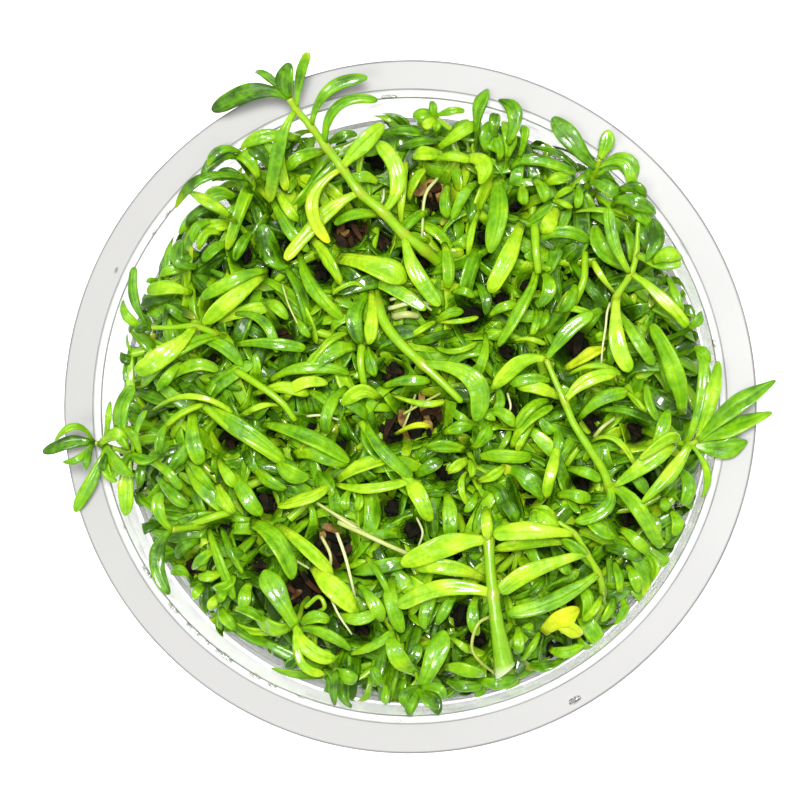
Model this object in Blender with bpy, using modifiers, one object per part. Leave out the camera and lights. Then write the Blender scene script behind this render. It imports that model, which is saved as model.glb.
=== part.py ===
"""Dwarf rotala from tissue culture, growing in its clear plastic cup.

Metres, +Z up. The origin is the centre of the cup's flat base, on the cup's axis.
+Y is up and +X is right when the cup is looked at from above.
"""

import math
from collections import namedtuple

import bmesh
import bpy
from mathutils import Vector

# Driving dimensions, in millimetres
CUP_HEIGHT = 46.0
FLANGE_RADIUS = 47.5
FLANGE_THICKNESS = 0.8
WALL = 0.8
MOUTH_RADIUS = 43.4
SEAT_RADIUS = 42.4
SEAT_DEPTH = 0.6
LEDGE_DEPTH = 12.0
LEDGE_RADIUS = 41.2
LEDGE_WIDTH = 0.8
BASE_RADIUS = 38.6
GEL_DEPTH = 9.8
SOCKET_DEPTH = 4.0
MAT_HEIGHT = 41.3
GAP = 0.3
LEAF_THICKNESS = 0.6

# How finely round shapes are cut
TURN_STEPS = 56
STEM_SPANS = 2
TUBE_RESOLUTION = 2
LEAF_SPANS = 4
LEAF_COLUMNS = 2

# The shoots are laid out as they look from a point high over the cup, a little off its axis
EYE_DISTANCE = 500.0
EYE_OFFSET = Vector((34.0, -24.0))
EYE_AIM = Vector((-1.1, 0.7))

# How much wider a stem's far end is than its foot, and how late along it that sets in
ROOTED_FLARE = (0.75, 1.0)
LOOSE_FLARE = (2.1, 3.5)

MM = 0.001

Leaf = namedtuple("Leaf", "at mid tip width finish", defaults=("leaf_green",))
Shoot = namedtuple("Shoot", "name radius foot route leaves")

# Each stem stands in the gel at its foot, which is a true place (x, y). Its route and its leaves are places
# as they look from the eye, with a true height (x, y, z). A leaf leaves the route at point `at`.
SHOOTS = (
    Shoot(
        "north_west", 0.82, (8.0, 12.0),
        (
            (5.6, 17.8, 35.0), (2.2, 21.2, 41.6), (-0.6, 23.4, 43.2), (-3.4, 26.4, 44.4),
            (-6.6, 29.1, 45.4), (-9.0, 32.4, 46.4), (-11.3, 35.4, 47.6), (-13.2, 38.0, 48.8),
            (-15.3, 40.4, 50.0), (-16.2, 41.9, 50.8),
        ),
        (
            Leaf(9, (-21.2, 42.8, 51.8), (-26.8, 40.2, 49.6), 2.6, "leaf_deep"),
            Leaf(9, (-16.8, 44.4, 53.0), (-16.1, 46.8, 53.8), 2.7, "leaf_deep"),
            Leaf(8, (-14.7, 45.0, 51.8), (-13.6, 48.2, 53.2), 1.5),
            Leaf(8, (-17.6, 35.2, 48.8), (-18.9, 27.8, 44.6), 2.0),
            Leaf(7, (-10.9, 43.0, 51.6), (-5.5, 44.8, 51.4), 1.8),
            Leaf(6, (-9.6, 40.9, 50.4), (-4.1, 41.6, 50.0), 1.5),
            Leaf(5, (-6.7, 35.2, 48.0), (-3.3, 38.4, 47.4), 2.4, "leaf_bright"),
            Leaf(5, (-13.1, 27.6, 46.6), (-10.7, 22.2, 44.6), 1.9, "leaf_bright"),
            Leaf(4, (-11.6, 25.8, 44.4), (-16.8, 19.8, 43.0), 2.0, "leaf_bright"),
            Leaf(3, (-1.4, 31.2, 45.8), (-4.3, 36.0, 45.4), 2.4, "leaf_bright"),
            Leaf(2, (1.2, 18.0, 44.2), (4.4, 13.6, 43.2), 2.3, "leaf_bright"),
        ),
    ),
    Shoot(
        "west", 0.6, (-22.0, -9.0),
        (
            (-28.4, -12.4, 35.0), (-31.6, -10.4, 41.5), (-34.6, -8.0, 45.4), (-38.3, -6.5, 47.6),
            (-41.0, -5.7, 48.4), (-43.0, -5.1, 48.8),
        ),
        (
            Leaf(5, (-46.4, -5.2, 49.2), (-49.9, -6.5, 48.0), 1.9, "leaf_deep"),
            Leaf(4, (-43.1, -9.9, 48.4), (-45.5, -14.6, 47.2), 1.9),
            Leaf(3, (-39.3, -1.4, 48.4), (-37.5, 2.6, 47.4), 2.2),
            Leaf(3, (-38.5, -10.8, 47.2), (-38.6, -15.1, 46.2), 2.2, "leaf_bright"),
        ),
    ),
    Shoot(
        "east", 0.6, (29.0, -1.0),
        ((33.0, -3.8, 36.0), (36.4, -5.0, 43.6), (38.6, -5.3, 47.2), (39.6, -4.7, 48.0)),
        (
            Leaf(3, (44.0, -0.8, 50.4), (50.3, 3.4, 49.8), 2.8),
            Leaf(3, (44.8, -2.8, 48.9), (49.8, -1.0, 48.6), 2.9),
            Leaf(2, (42.8, -5.9, 47.5), (46.4, -4.9, 47.0), 3.0),
            Leaf(1, (33.4, -7.3, 45.6), (28.2, -11.1, 44.4), 2.8, "leaf_bright"),
            Leaf(2, (35.6, -9.6, 46.9), (31.9, -13.3, 45.8), 2.0, "leaf_bright"),
        ),
    ),
    Shoot(
        "north_east", 0.55, (18.0, 24.0),
        ((23.6, 28.6, 36.0), (25.2, 31.0, 43.0), (25.8, 32.4, 46.2), (26.2, 33.6, 47.6)),
        (
            Leaf(2, (22.9, 35.5, 47.7), (19.8, 39.4, 47.6), 2.9, "leaf_deep"),
            Leaf(3, (27.1, 35.8, 48.7), (27.4, 37.6, 48.8), 2.1),
            Leaf(2, (29.6, 33.0, 47.6), (30.6, 29.3, 46.6), 1.7),
        ),
    ),
    Shoot(
        "upper_east", 0.6, (24.0, 8.0),
        (
            (28.0, 10.0, 35.0), (28.2, 13.4, 41.8), (28.5, 14.9, 43.0), (30.4, 17.9, 44.4),
            (31.2, 20.6, 45.2), (31.5, 25.0, 46.2),
        ),
        (
            Leaf(3, (28.1, 22.6, 46.4), (27.4, 27.0, 46.4), 1.8),
            Leaf(3, (34.6, 14.8, 45.2), (38.3, 10.6, 44.2), 1.7, "leaf_bright"),
            Leaf(4, (34.6, 19.4, 47.2), (37.3, 19.6, 47.3), 1.9),
            Leaf(2, (28.6, 8.9, 44.0), (30.4, 4.6, 43.4), 2.4, "leaf_bright"),
        ),
    ),
    Shoot(
        "right_centre", 0.7, (22.0, -13.0),
        (
            (27.6, -14.2, 35.0), (27.4, -11.0, 41.8), (26.6, -8.8, 43.0), (24.6, -5.6, 44.2),
            (22.6, -2.4, 44.8), (21.4, 0.5, 45.3), (20.2, 3.2, 45.7), (18.9, 6.2, 46.0),
        ),
        (
            Leaf(7, (21.8, 10.0, 47.0), (25.3, 12.7, 46.4), 2.0),
            Leaf(7, (15.4, 5.8, 46.8), (11.5, 2.2, 45.0), 2.2, "leaf_bright"),
            Leaf(5, (24.7, 3.5, 46.2), (28.4, 4.2, 45.2), 1.9, "leaf_bright"),
            Leaf(1, (27.0, -14.2, 43.2), (22.8, -15.9, 42.8), 1.9),
        ),
    ),
    Shoot(
        "centre", 0.92, (-1.0, 18.0),
        (
            (-4.4, 16.6, 35.0), (-4.1, 13.6, 41.9), (-3.0, 10.9, 43.3), (-0.8, 8.2, 43.9),
            (2.0, 5.6, 44.3), (4.6, 3.2, 44.3), (7.2, 0.6, 43.8),
        ),
        (Leaf(4, (8.8, 3.6, 46.0), (9.3, -2.2, 44.6), 2.9, "leaf_deep"),),
    ),
    Shoot(
        "south", 0.74, None,
        (
            (10.7, -14.2, 43.4), (11.0, -18.4, 44.4), (11.2, -22.0, 44.9), (11.6, -25.8, 45.1),
            (12.1, -29.5, 44.9), (13.3, -36.4, 43.2),
        ),
        (
            Leaf(1, (4.9, -19.3, 45.4), (-0.9, -21.9, 44.0), 3.2, "leaf_bright"),
            Leaf(3, (5.2, -25.0, 45.4), (-1.4, -27.5, 44.0), 2.4, "leaf_bright"),
        ),
    ),
    Shoot(
        "south_east", 0.62, (21.0, -22.0),
        (
            (26.6, -27.4, 34.0), (26.6, -25.2, 40.6), (26.0, -23.0, 42.6), (24.4, -20.2, 43.8),
            (22.8, -17.6, 44.6), (20.6, -16.0, 45.0),
        ),
        (
            Leaf(4, (16.8, -17.2, 46.2), (11.6, -17.6, 45.4), 2.6, "leaf_bright"),
            Leaf(3, (17.2, -22.6, 45.0), (12.4, -25.6, 44.6), 2.5, "leaf_bright"),
            Leaf(2, (20.2, -26.6, 44.0), (13.6, -28.6, 43.4), 2.3),
        ),
    ),
    Shoot(
        "south_west", 0.55, (-11.0, -23.0),
        ((-13.8, -26.6, 35.0), (-14.8, -28.8, 41.0), (-15.3, -30.2, 43.0)),
        (
            Leaf(2, (-17.8, -26.0, 44.8), (-19.7, -22.6, 43.8), 3.2),
            Leaf(2, (-13.4, -33.5, 44.0), (-9.9, -34.6, 43.0), 2.3, "leaf_bright"),
        ),
    ),
    Shoot(
        "south_edge", 0.55, (2.0, -29.0),
        ((0.4, -32.4, 33.0), (0.9, -36.0, 41.0), (1.7, -38.6, 45.2)),
        (
            Leaf(2, (3.6, -34.6, 46.8), (4.9, -30.8, 45.6), 3.1),
            Leaf(2, (3.6, -40.6, 47.4), (3.9, -42.3, 47.2), 2.0, "leaf_deep"),
        ),
    ),
    Shoot(
        "upper_west", 0.6, (-18.0, 6.0),
        (
            (-23.6, 8.6, 35.0), (-26.4, 9.8, 42.0), (-29.2, 10.8, 44.0), (-32.4, 10.6, 45.8),
            (-35.4, 10.6, 47.0),
        ),
        (
            Leaf(2, (-32.9, 7.1, 46.8), (-37.3, 4.6, 45.8), 2.8, "leaf_bright"),
            Leaf(4, (-37.4, 14.6, 48.0), (-37.4, 18.9, 47.6), 1.4, "leaf_deep"),
        ),
    ),
    Shoot(
        "lower_west", 0.78, (-20.0, -17.0),
        ((-25.6, -15.6, 35.0), (-28.4, -16.4, 41.4), (-30.6, -16.8, 44.0), (-32.3, -17.0, 45.6)),
        (Leaf(3, (-34.4, -21.2, 47.6), (-32.6, -25.9, 47.6), 2.2, "leaf_deep"),),
    ),
)

# Finish name: base colour, roughness, how much light passes
FINISHES = {
    "clear_plastic": ((0.92, 0.94, 0.93), 0.08, 1.0),
    "brown_gel": ((0.20, 0.11, 0.05), 0.15, 0.0),
    "low_growth": ((0.10, 0.27, 0.03), 0.5, 0.0),
    "stem_green": ((0.40, 0.60, 0.06), 0.35, 0.0),
    "leaf_green": ((0.16, 0.42, 0.03), 0.3, 0.0),
    "leaf_bright": ((0.34, 0.60, 0.04), 0.3, 0.0),
    "leaf_deep": ((0.06, 0.24, 0.02), 0.3, 0.0),
}


def clear_scene():
    """Removes every object that is already in the scene."""
    for obj in list(bpy.data.objects):
        bpy.data.objects.remove(obj, do_unlink=True)


def new_collection(name, hidden=False):
    """A new collection linked to the scene."""
    collection = bpy.data.collections.new(name)
    bpy.context.scene.collection.children.link(collection)
    collection.hide_render = hidden
    return collection


def make_material(name):
    """The Principled material of one finish."""
    colour, roughness, passes = FINISHES[name]
    material = bpy.data.materials.new(name)
    material.use_nodes = True
    shader = material.node_tree.nodes["Principled BSDF"]
    shader.inputs["Base Color"].default_value = (*colour, 1.0)
    shader.inputs["Roughness"].default_value = roughness
    shader.inputs["Metallic"].default_value = 0.0
    shader.inputs["Transmission Weight"].default_value = passes
    return material


def add_object(name, data, collection, material=None):
    """Links a new object to a collection, with its material."""
    obj = bpy.data.objects.new(name, data)
    collection.objects.link(obj)
    if material is not None:
        data.materials.append(material)
    return obj


def inner_radius(height):
    """The cup's inner radius at a height on its lower wall."""
    foot, top = 1.8, CUP_HEIGHT - LEDGE_DEPTH - 0.4
    share = (height - foot) / (top - foot)
    return BASE_RADIUS + share * (LEDGE_RADIUS - LEDGE_WIDTH - BASE_RADIUS)


def turned(name, profile, collection, material):
    """A shape turned about the Z axis from (radius, height) points in millimetres."""
    mesh = bpy.data.meshes.new(name)
    points = [(radius * MM, 0.0, height * MM) for radius, height in profile]
    edges = [(i, i + 1) for i in range(len(points) - 1)]
    mesh.from_pydata(points, edges, [])
    obj = add_object(name, mesh, collection, material)
    screw = obj.modifiers.new("turn", "SCREW")
    screw.angle = math.tau
    screw.steps = TURN_STEPS
    screw.render_steps = TURN_STEPS
    screw.use_merge_vertices = True
    screw.merge_threshold = 0.00001
    screw.use_smooth_shade = True
    return obj


def cup_profile():
    """The cup's section: up the inside from the axis, over the flange and down the outside."""
    ledge = CUP_HEIGHT - LEDGE_DEPTH
    floor = WALL + 0.1
    lower_top = LEDGE_RADIUS - LEDGE_WIDTH
    inside = [
        (0.0, floor),
        (BASE_RADIUS - 0.8, floor),
        (BASE_RADIUS, floor + 0.9),
        (lower_top, ledge - 0.4),
        (LEDGE_RADIUS, ledge + 0.4),
        (SEAT_RADIUS, CUP_HEIGHT - SEAT_DEPTH),
        (MOUTH_RADIUS - 0.3, CUP_HEIGHT - SEAT_DEPTH + 0.1),
        (MOUTH_RADIUS, CUP_HEIGHT),
    ]
    under = CUP_HEIGHT - FLANGE_THICKNESS
    outside = [
        (FLANGE_RADIUS - 0.15, CUP_HEIGHT),
        (FLANGE_RADIUS, CUP_HEIGHT - 0.15),
        (FLANGE_RADIUS, under),
        (MOUTH_RADIUS + 0.5, under),
        (SEAT_RADIUS + WALL, under - 0.7),
        (LEDGE_RADIUS + WALL, ledge),
        (lower_top + WALL, ledge - 0.8),
        (BASE_RADIUS + WALL, 1.0),
        (BASE_RADIUS, 0.0),
        (0.0, 0.0),
    ]
    return inside + outside


def gel_profile():
    """The gel's section, 0.3 mm clear of the cup all round."""
    bottom = WALL + 0.1 + GAP
    top = bottom + GEL_DEPTH
    return [
        (0.0, top),
        (inner_radius(top) - GAP, top),
        (BASE_RADIUS - GAP, bottom + 0.9),
        (BASE_RADIUS - 1.2, bottom),
        (0.0, bottom),
    ]


def mat_profile(bottom):
    """The section of the low growth: a dome that falls away towards the wall."""
    return [
        (0.0, MAT_HEIGHT),
        (12.0, MAT_HEIGHT - 0.3),
        (24.0, MAT_HEIGHT - 1.3),
        (30.0, MAT_HEIGHT - 3.0),
        (34.5, MAT_HEIGHT - 6.3),
        (37.2, MAT_HEIGHT - 11.3),
        (inner_radius(20.0) - 0.6, 20.0),
        (inner_radius(bottom) - 0.6, bottom),
        (0.0, bottom),
    ]


def eye_frame():
    """The eye's place and the rightward and upward directions of its view, in millimetres."""
    rim_centre = Vector((0.0, 0.0, CUP_HEIGHT))
    rise = math.sqrt(EYE_DISTANCE**2 - EYE_OFFSET.length_squared)
    forward = -Vector((*EYE_OFFSET, rise)).normalized()
    right = forward.cross(Vector((0.0, 1.0, 0.0))).normalized()
    up = right.cross(forward)
    eye = rim_centre - forward * EYE_DISTANCE + right * EYE_AIM.x + up * EYE_AIM.y
    return eye, rim_centre, right, up


def placed(point):
    """The true place of a point that looks to be at (x, y) from the eye and has the height z."""
    eye, rim_centre, right, up = eye_frame()
    x, y, z = point
    seen = rim_centre + right * x + up * y
    share = (z - eye.z) / (seen.z - eye.z)
    return eye + (seen - eye) * share


def smooth(points, spans):
    """Points along one smooth curve through the given points."""
    ends = [2 * points[0] - points[1], *points, 2 * points[-1] - points[-2]]
    curve = []
    for a, b, c, d in zip(ends, ends[1:], ends[2:], ends[3:]):
        for step in range(spans):
            t = step / spans
            curve.append(
                0.5 * (2 * b + (c - a) * t + (2 * a - 5 * b + 4 * c - d) * t**2 + (3 * b - a - 3 * c + d) * t**3)
            )
    return [*curve, points[-1].copy()]


def stem_points(shoot):
    """A stem's own points: its foot in the gel, a point above the gel, and its route."""
    route = [placed(point) for point in shoot.route]
    if shoot.foot is None:
        return route
    gel_top = WALL + 0.1 + GAP + GEL_DEPTH
    foot = Vector((*shoot.foot, gel_top - SOCKET_DEPTH))
    above = Vector((*(foot.xy * 0.8 + route[0].xy * 0.2), gel_top + 8.0))
    return [foot, above, *route]


def tube(name, points, radius, flare, collection, material=None):
    """A stem: a round bevelled curve with filled caps, which widens towards its far end by its flare."""
    curve = bpy.data.curves.new(name, "CURVE")
    curve.dimensions = "3D"
    curve.bevel_depth = radius * MM
    curve.bevel_resolution = TUBE_RESOLUTION
    curve.use_fill_caps = True
    spline = curve.splines.new("POLY")
    spline.points.add(len(points) - 1)
    lengths = [0.0]
    for a, b in zip(points, points[1:]):
        lengths.append(lengths[-1] + (b - a).length)
    widest, power = flare
    for spot, point, length in zip(spline.points, points, lengths):
        spot.co = (*(point * MM), 1.0)
        spot.radius = 1.0 + (widest - 1.0) * (length / lengths[-1]) ** power
    return add_object(name, curve, collection, material)


def as_mesh(obj):
    """Replaces a curve object by its closed mesh."""
    name = obj.name
    collection = obj.users_collection[0]
    evaluated = obj.evaluated_get(bpy.context.evaluated_depsgraph_get())
    mesh = bpy.data.meshes.new_from_object(evaluated)
    bm = bmesh.new()
    bm.from_mesh(mesh)
    bmesh.ops.remove_doubles(bm, verts=bm.verts, dist=0.00001)
    bmesh.ops.recalc_face_normals(bm, faces=bm.faces)
    bm.to_mesh(mesh)
    bm.free()
    matrix = obj.matrix_world.copy()
    bpy.data.objects.remove(obj, do_unlink=True)
    solid = bpy.data.objects.new(name, mesh)
    solid.matrix_world = matrix
    collection.objects.link(solid)
    return solid


def leaf_half_width(t):
    """A leaf's half width along its length, as a share of its widest: narrow foot, rounded tip."""
    return 0.28 + 0.72 * math.sin(math.pi * t**0.85) ** 0.8


def leaf_surface(name, base, mid, tip, width):
    """A leaf's blade as an open surface that follows the curve through three points."""
    bm = bmesh.new()
    bmesh.ops.create_grid(bm, x_segments=LEAF_COLUMNS, y_segments=LEAF_SPANS, size=1.0)
    handle = 2 * mid - (base + tip) / 2
    for vert in bm.verts:
        across, t = vert.co.x, (vert.co.y + 1) / 2
        spot = base * (1 - t) ** 2 + handle * 2 * t * (1 - t) + tip * t**2
        along = ((handle - base) * (1 - t) + (tip - handle) * t).normalized()
        side = along.cross(Vector((0.0, 0.0, 1.0))).normalized()
        face = side.cross(along)
        half = width / 2 * leaf_half_width(t)
        fold = 0.22 * half * abs(across)
        vert.co = (spot + side * across * half + face * fold) * MM
    mesh = bpy.data.meshes.new(name)
    bm.to_mesh(mesh)
    bm.free()
    return mesh


def add_leaf(name, shoot, leaf, stem, collection, material):
    """A leaf whose foot stands just clear of its stem."""
    node, mid, tip = stem[leaf.at - len(shoot.route)], placed(leaf.mid), placed(leaf.tip)
    handle = 2 * mid - (node + tip) / 2
    base = node + (handle - node).normalized() * (shoot.radius + 2 * GAP)
    obj = add_object(name, leaf_surface(name, base, mid, tip, leaf.width), collection, material)
    solidify = obj.modifiers.new("thickness", "SOLIDIFY")
    solidify.thickness = LEAF_THICKNESS * MM
    solidify.offset = 0.0
    obj.data.shade_smooth()
    return obj


def cut_sockets(obj, cutters):
    """Cuts every stem's socket out of a solid."""
    for cutter in cutters:
        cut = obj.modifiers.new(cutter.name, "BOOLEAN")
        cut.operation = "DIFFERENCE"
        cut.solver = "EXACT"
        cut.object = cutter


def add_cutter(shoot, points, collection):
    """The socket of one stem: its buried length, a little wider than the stem."""
    buried = [point for point in points if point.z < MAT_HEIGHT + 1.5]
    wider = shoot.radius + GAP + 0.1
    start = buried[0] + (buried[0] - buried[1]).normalized() * GAP
    cutter = as_mesh(tube(f"{shoot.name}_socket", [start, *buried[1:]], wider, (1.0, 1.0), collection))
    cutter.hide_render = True
    cutter.display_type = "WIRE"
    return cutter


def add_shoot(shoot, parts, tools, materials):
    """One shoot's stem and leaves. Returns the cutter of its socket, or None where it lies loose."""
    own = stem_points(shoot)
    line = smooth(own, STEM_SPANS)
    rooted = shoot.foot is not None
    flare = ROOTED_FLARE if rooted else LOOSE_FLARE
    tube(f"{shoot.name}_stem", line, shoot.radius, flare, parts, materials["stem_green"])
    for number, leaf in enumerate(shoot.leaves, 1):
        add_leaf(f"{shoot.name}_leaf_{number}", shoot, leaf, own, parts, materials[leaf.finish])
    return add_cutter(shoot, line, tools) if rooted else None


def main():
    """Builds the cup, the gel, the low growth and the shoots."""
    clear_scene()
    parts = new_collection("dwarf_rotala_cup")
    tools = new_collection("cutters", hidden=True)
    materials = {name: make_material(name) for name in FINISHES}
    turned("cup", cup_profile(), parts, materials["clear_plastic"])
    gel = turned("nutrient_gel", gel_profile(), parts, materials["brown_gel"])
    mat_bottom = WALL + 0.1 + GAP + GEL_DEPTH + GAP
    low_growth = turned("low_growth", mat_profile(mat_bottom), parts, materials["low_growth"])
    cutters = [add_shoot(shoot, parts, tools, materials) for shoot in SHOOTS]
    cutters = [cutter for cutter in cutters if cutter is not None]
    cut_sockets(gel, cutters)
    cut_sockets(low_growth, cutters)


main()
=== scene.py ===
"""The looks of a cup of dwarf rotala from tissue culture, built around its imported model.

Metres, +Z up, the origin at the centre of the cup's base. Sizes below are in millimetres unless they say
otherwise. Places marked as seen are read from the view of the eye, with a true height.
"""

import logging
import math
import random
from dataclasses import dataclass, field, replace
from enum import Enum
from functools import cached_property
from typing import Any, Callable, ClassVar, Iterable, NamedTuple

import bmesh
import bpy
import numpy as np
from mathutils import Matrix, Vector


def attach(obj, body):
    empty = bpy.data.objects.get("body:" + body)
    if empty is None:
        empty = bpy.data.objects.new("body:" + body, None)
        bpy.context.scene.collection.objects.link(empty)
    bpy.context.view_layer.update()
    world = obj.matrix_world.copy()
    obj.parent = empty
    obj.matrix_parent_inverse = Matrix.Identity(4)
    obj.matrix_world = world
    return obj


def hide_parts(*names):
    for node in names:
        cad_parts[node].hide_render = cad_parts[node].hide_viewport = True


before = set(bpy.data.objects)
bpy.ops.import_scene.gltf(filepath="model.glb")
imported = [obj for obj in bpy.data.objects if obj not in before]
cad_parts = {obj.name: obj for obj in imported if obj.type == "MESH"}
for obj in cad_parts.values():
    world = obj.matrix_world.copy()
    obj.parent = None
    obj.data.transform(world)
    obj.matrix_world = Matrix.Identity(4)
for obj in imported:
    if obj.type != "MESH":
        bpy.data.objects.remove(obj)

log = logging.getLogger("rotala")

MM = 0.001
BODY = "root"
SEED = 20

# The cup and what it holds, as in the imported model
CUP_HEIGHT = 46.0
FLANGE_RADIUS = 47.5
FLANGE_THICKNESS = 0.8
WALL = 0.8
MOUTH_RADIUS = 43.4
SEAT_RADIUS = 42.4
SEAT_DEPTH = 0.6
LEDGE_DEPTH = 12.0
LEDGE_RADIUS = 41.2
LEDGE_WIDTH = 0.8
LEDGE_SLOPE = 0.4
BASE_RADIUS = 38.6
WALL_FOOT = 1.8
GEL_BOTTOM = 1.2
GEL_TOP = 11.0
GROWTH_HEIGHT = 41.3
GROWTH_FLAT = 26.0
GROWTH_EDGE = 14.0

Place = tuple[float, float, float]
Spot = tuple[float, float]


def inner_radius(height: float) -> float:
    """The cup's inner radius at a height on its lower wall."""
    top = CUP_HEIGHT - LEDGE_DEPTH - LEDGE_SLOPE
    share = (height - WALL_FOOT) / (top - WALL_FOOT)
    return BASE_RADIUS + share * (LEDGE_RADIUS - LEDGE_WIDTH - BASE_RADIUS)


def growth_top(radius: Any) -> Any:
    """The height of the top of the growth at a distance, or distances, from the cup's axis."""
    edge = np.clip((radius - GROWTH_FLAT) / GROWTH_EDGE, 0.0, 1.2)
    return GROWTH_HEIGHT - np.minimum(1.0, radius / GROWTH_FLAT) ** 2 - 2.4 * edge**2


def growth_reach(turn: float) -> float:
    """How far the growth comes out from the cup's axis at a bearing: most at the lower right as seen."""
    return 38.6 + 1.2 * math.cos(turn + 0.7)


def toward(turn: float) -> Vector:
    """The level direction at a bearing."""
    return Vector((math.cos(turn), math.sin(turn)))


def kept_inside(points: np.ndarray) -> np.ndarray:
    """Points pressed softly against the inside of the cup's wall, up to its rim.

    Args:
        points: Places in millimetres, with x, y and z last.

    Returns:
        The places after.
    """
    clear, reach = 0.15, 1.3
    ledge = CUP_HEIGHT - LEDGE_DEPTH
    heights = (WALL_FOOT, ledge - LEDGE_SLOPE, ledge + LEDGE_SLOPE, CUP_HEIGHT - SEAT_DEPTH)
    radii = (BASE_RADIUS, LEDGE_RADIUS - LEDGE_WIDTH, LEDGE_RADIUS, SEAT_RADIUS)
    height = points[..., 2]
    radius = np.maximum(np.hypot(points[..., 0], points[..., 1]), 0.001)
    start = np.interp(height, heights, radii) - clear - reach
    pressed = start + reach * (1.0 - np.exp(-np.maximum(radius - start, 0.0) / reach))
    strength = ease((CUP_HEIGHT + 0.4 - height) / 2.0)
    wanted = np.where(radius > start, radius + (pressed - radius) * strength, radius)
    moved = points.copy()
    moved[..., :2] *= (wanted / radius)[..., None]
    return moved


@dataclass(frozen=True)
class Gaps:
    """Dark gaps that the growth is sunk at, along the line of sight: a place as seen and a radius each."""

    depth: float = 15.0
    reach: float = 1.25
    squeeze: float = 0.2
    places: tuple[Place, ...] = (
        (1.2, -1.8, 3), (-2.6, -3.8, 1.8), (3, 28.6, 2.2), (-8.2, 24, 2.2), (-13.6, -25.8, 2.8),
        (-10.8, -19.6, 2.6), (8.4, 12.2, 2), (13.4, -0.4, 1.7), (-12, 18.4, 1.6), (22.8, 8.4, 2),
        (24.8, -2.4, 1.5), (-19.8, -13.2, 1.8), (-2, 4.8, 1.5), (9, -32, 1.7), (13.4, 7.4, 1.3),
        (-9.2, -5.8, 1.3), (17, -12, 1.9), (28.8, 11.6, 1.6), (-27, 6.4, 1.2), (-24.8, -4.6, 1.7),
        (-17.6, 9.4, 1.4), (1.4, 19.6, 1.5), (-4.4, 33.4, 1.3), (4.8, -9, 1.5), (21.4, -27, 1.5),
        (-29.6, -22, 1.6), (12.6, 14.8, 1.4), (-13.6, -2.8, 1.1), (31, -3.6, 1.5), (32.4, -11.6, 1.7),
        (30, -15.6, 1.4), (23.6, -10.8, 1.3), (7, -28.8, 1.7), (0.6, -17, 1.4), (-2.4, -14, 1.3),
        (-16.6, 21.8, 1.2), (-3.6, 22.4, 1.2), (-22.6, 20.6, 1.3), (34.6, 9.6, 1.4), (-37.4, -10.2, 1.3),
        (-20.2, 2, 1.1), (16.4, 16.4, 1.4), (20, -33.2, 1.3), (-6.6, -30.6, 1.3), (10.2, 23.2, 1.3),
        (-26.8, 13.2, 1.2), (-20.6, -22, 1.3), (24.6, 18, 1.3), (14.4, 27.4, 1.2), (-25.6, -16.8, 1.2),
    )

    @cached_property
    def lines(self) -> list[tuple[Vector, Vector, float]]:
        """The middle of each gap at the height of the base and of the rim, and how far it reaches."""
        return [
            (EYE.placed((x, y, 0.0)), EYE.placed((x, y, CUP_HEIGHT)), self.reach * radius)
            for x, y, radius in self.places
        ]

    def sunk(self, points: np.ndarray) -> np.ndarray:
        """How far the growth is sunk.

        Args:
            points: True places in millimetres, with x, y and z last.

        Returns:
            A depth for each place.
        """
        share = points[..., 2] / CUP_HEIGHT
        nearest = np.full(points.shape[:-1], 9.0)
        for low, high, reach in self.lines:
            x = low.x + (high.x - low.x) * share - points[..., 0]
            y = low.y + (high.y - low.y) * share - points[..., 1]
            nearest = np.minimum(nearest, np.hypot(x, y) / reach)
        return self.depth * np.exp(-(nearest**2))

    def pressed(self, points: np.ndarray) -> np.ndarray:
        """Points of the growth with those over a gap bent down into it.

        Args:
            points: True places in millimetres, with x, y and z last.

        Returns:
            The places after.
        """
        moved, height = points.copy(), points[..., 2]
        surface = growth_top(np.hypot(points[..., 0], points[..., 1])) + 1.0 - self.sunk(points)
        moved[..., 2] = np.where(height > surface, surface + (height - surface) * self.squeeze, height)
        return moved


GAPS = Gaps()


class Tone(Enum):
    """How green a leaf is: its material slot and the brightness its finish reads."""

    BRIGHT = ("leaf_bright", 0.82)
    GREEN = ("leaf_green", 0.52)
    DEEP = ("leaf_deep", 0.2)

    @property
    def slot(self) -> str:
        """The record's material slot."""
        return self.value[0]

    @property
    def tint(self) -> float:
        """The brightness from 0, deepest, to 1, brightest."""
        return self.value[1]


BRIGHT, GREEN, DEEP = Tone.BRIGHT, Tone.GREEN, Tone.DEEP


def arithmetic(operation: str) -> tuple[Callable[..., "Wire"], Callable[..., "Wire"]]:
    """An operator's plain and reflected method, each of which adds a Math node.

    Args:
        operation: The Math node's operation.

    Returns:
        The two methods.
    """

    def plain(self: "Wire", other: Any) -> "Wire":
        """The wire, then the other value."""
        return self.math(operation, self, other)

    def reflected(self: "Wire", other: Any) -> "Wire":
        """The other value, then the wire."""
        return self.math(operation, other, self)

    return plain, reflected


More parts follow.
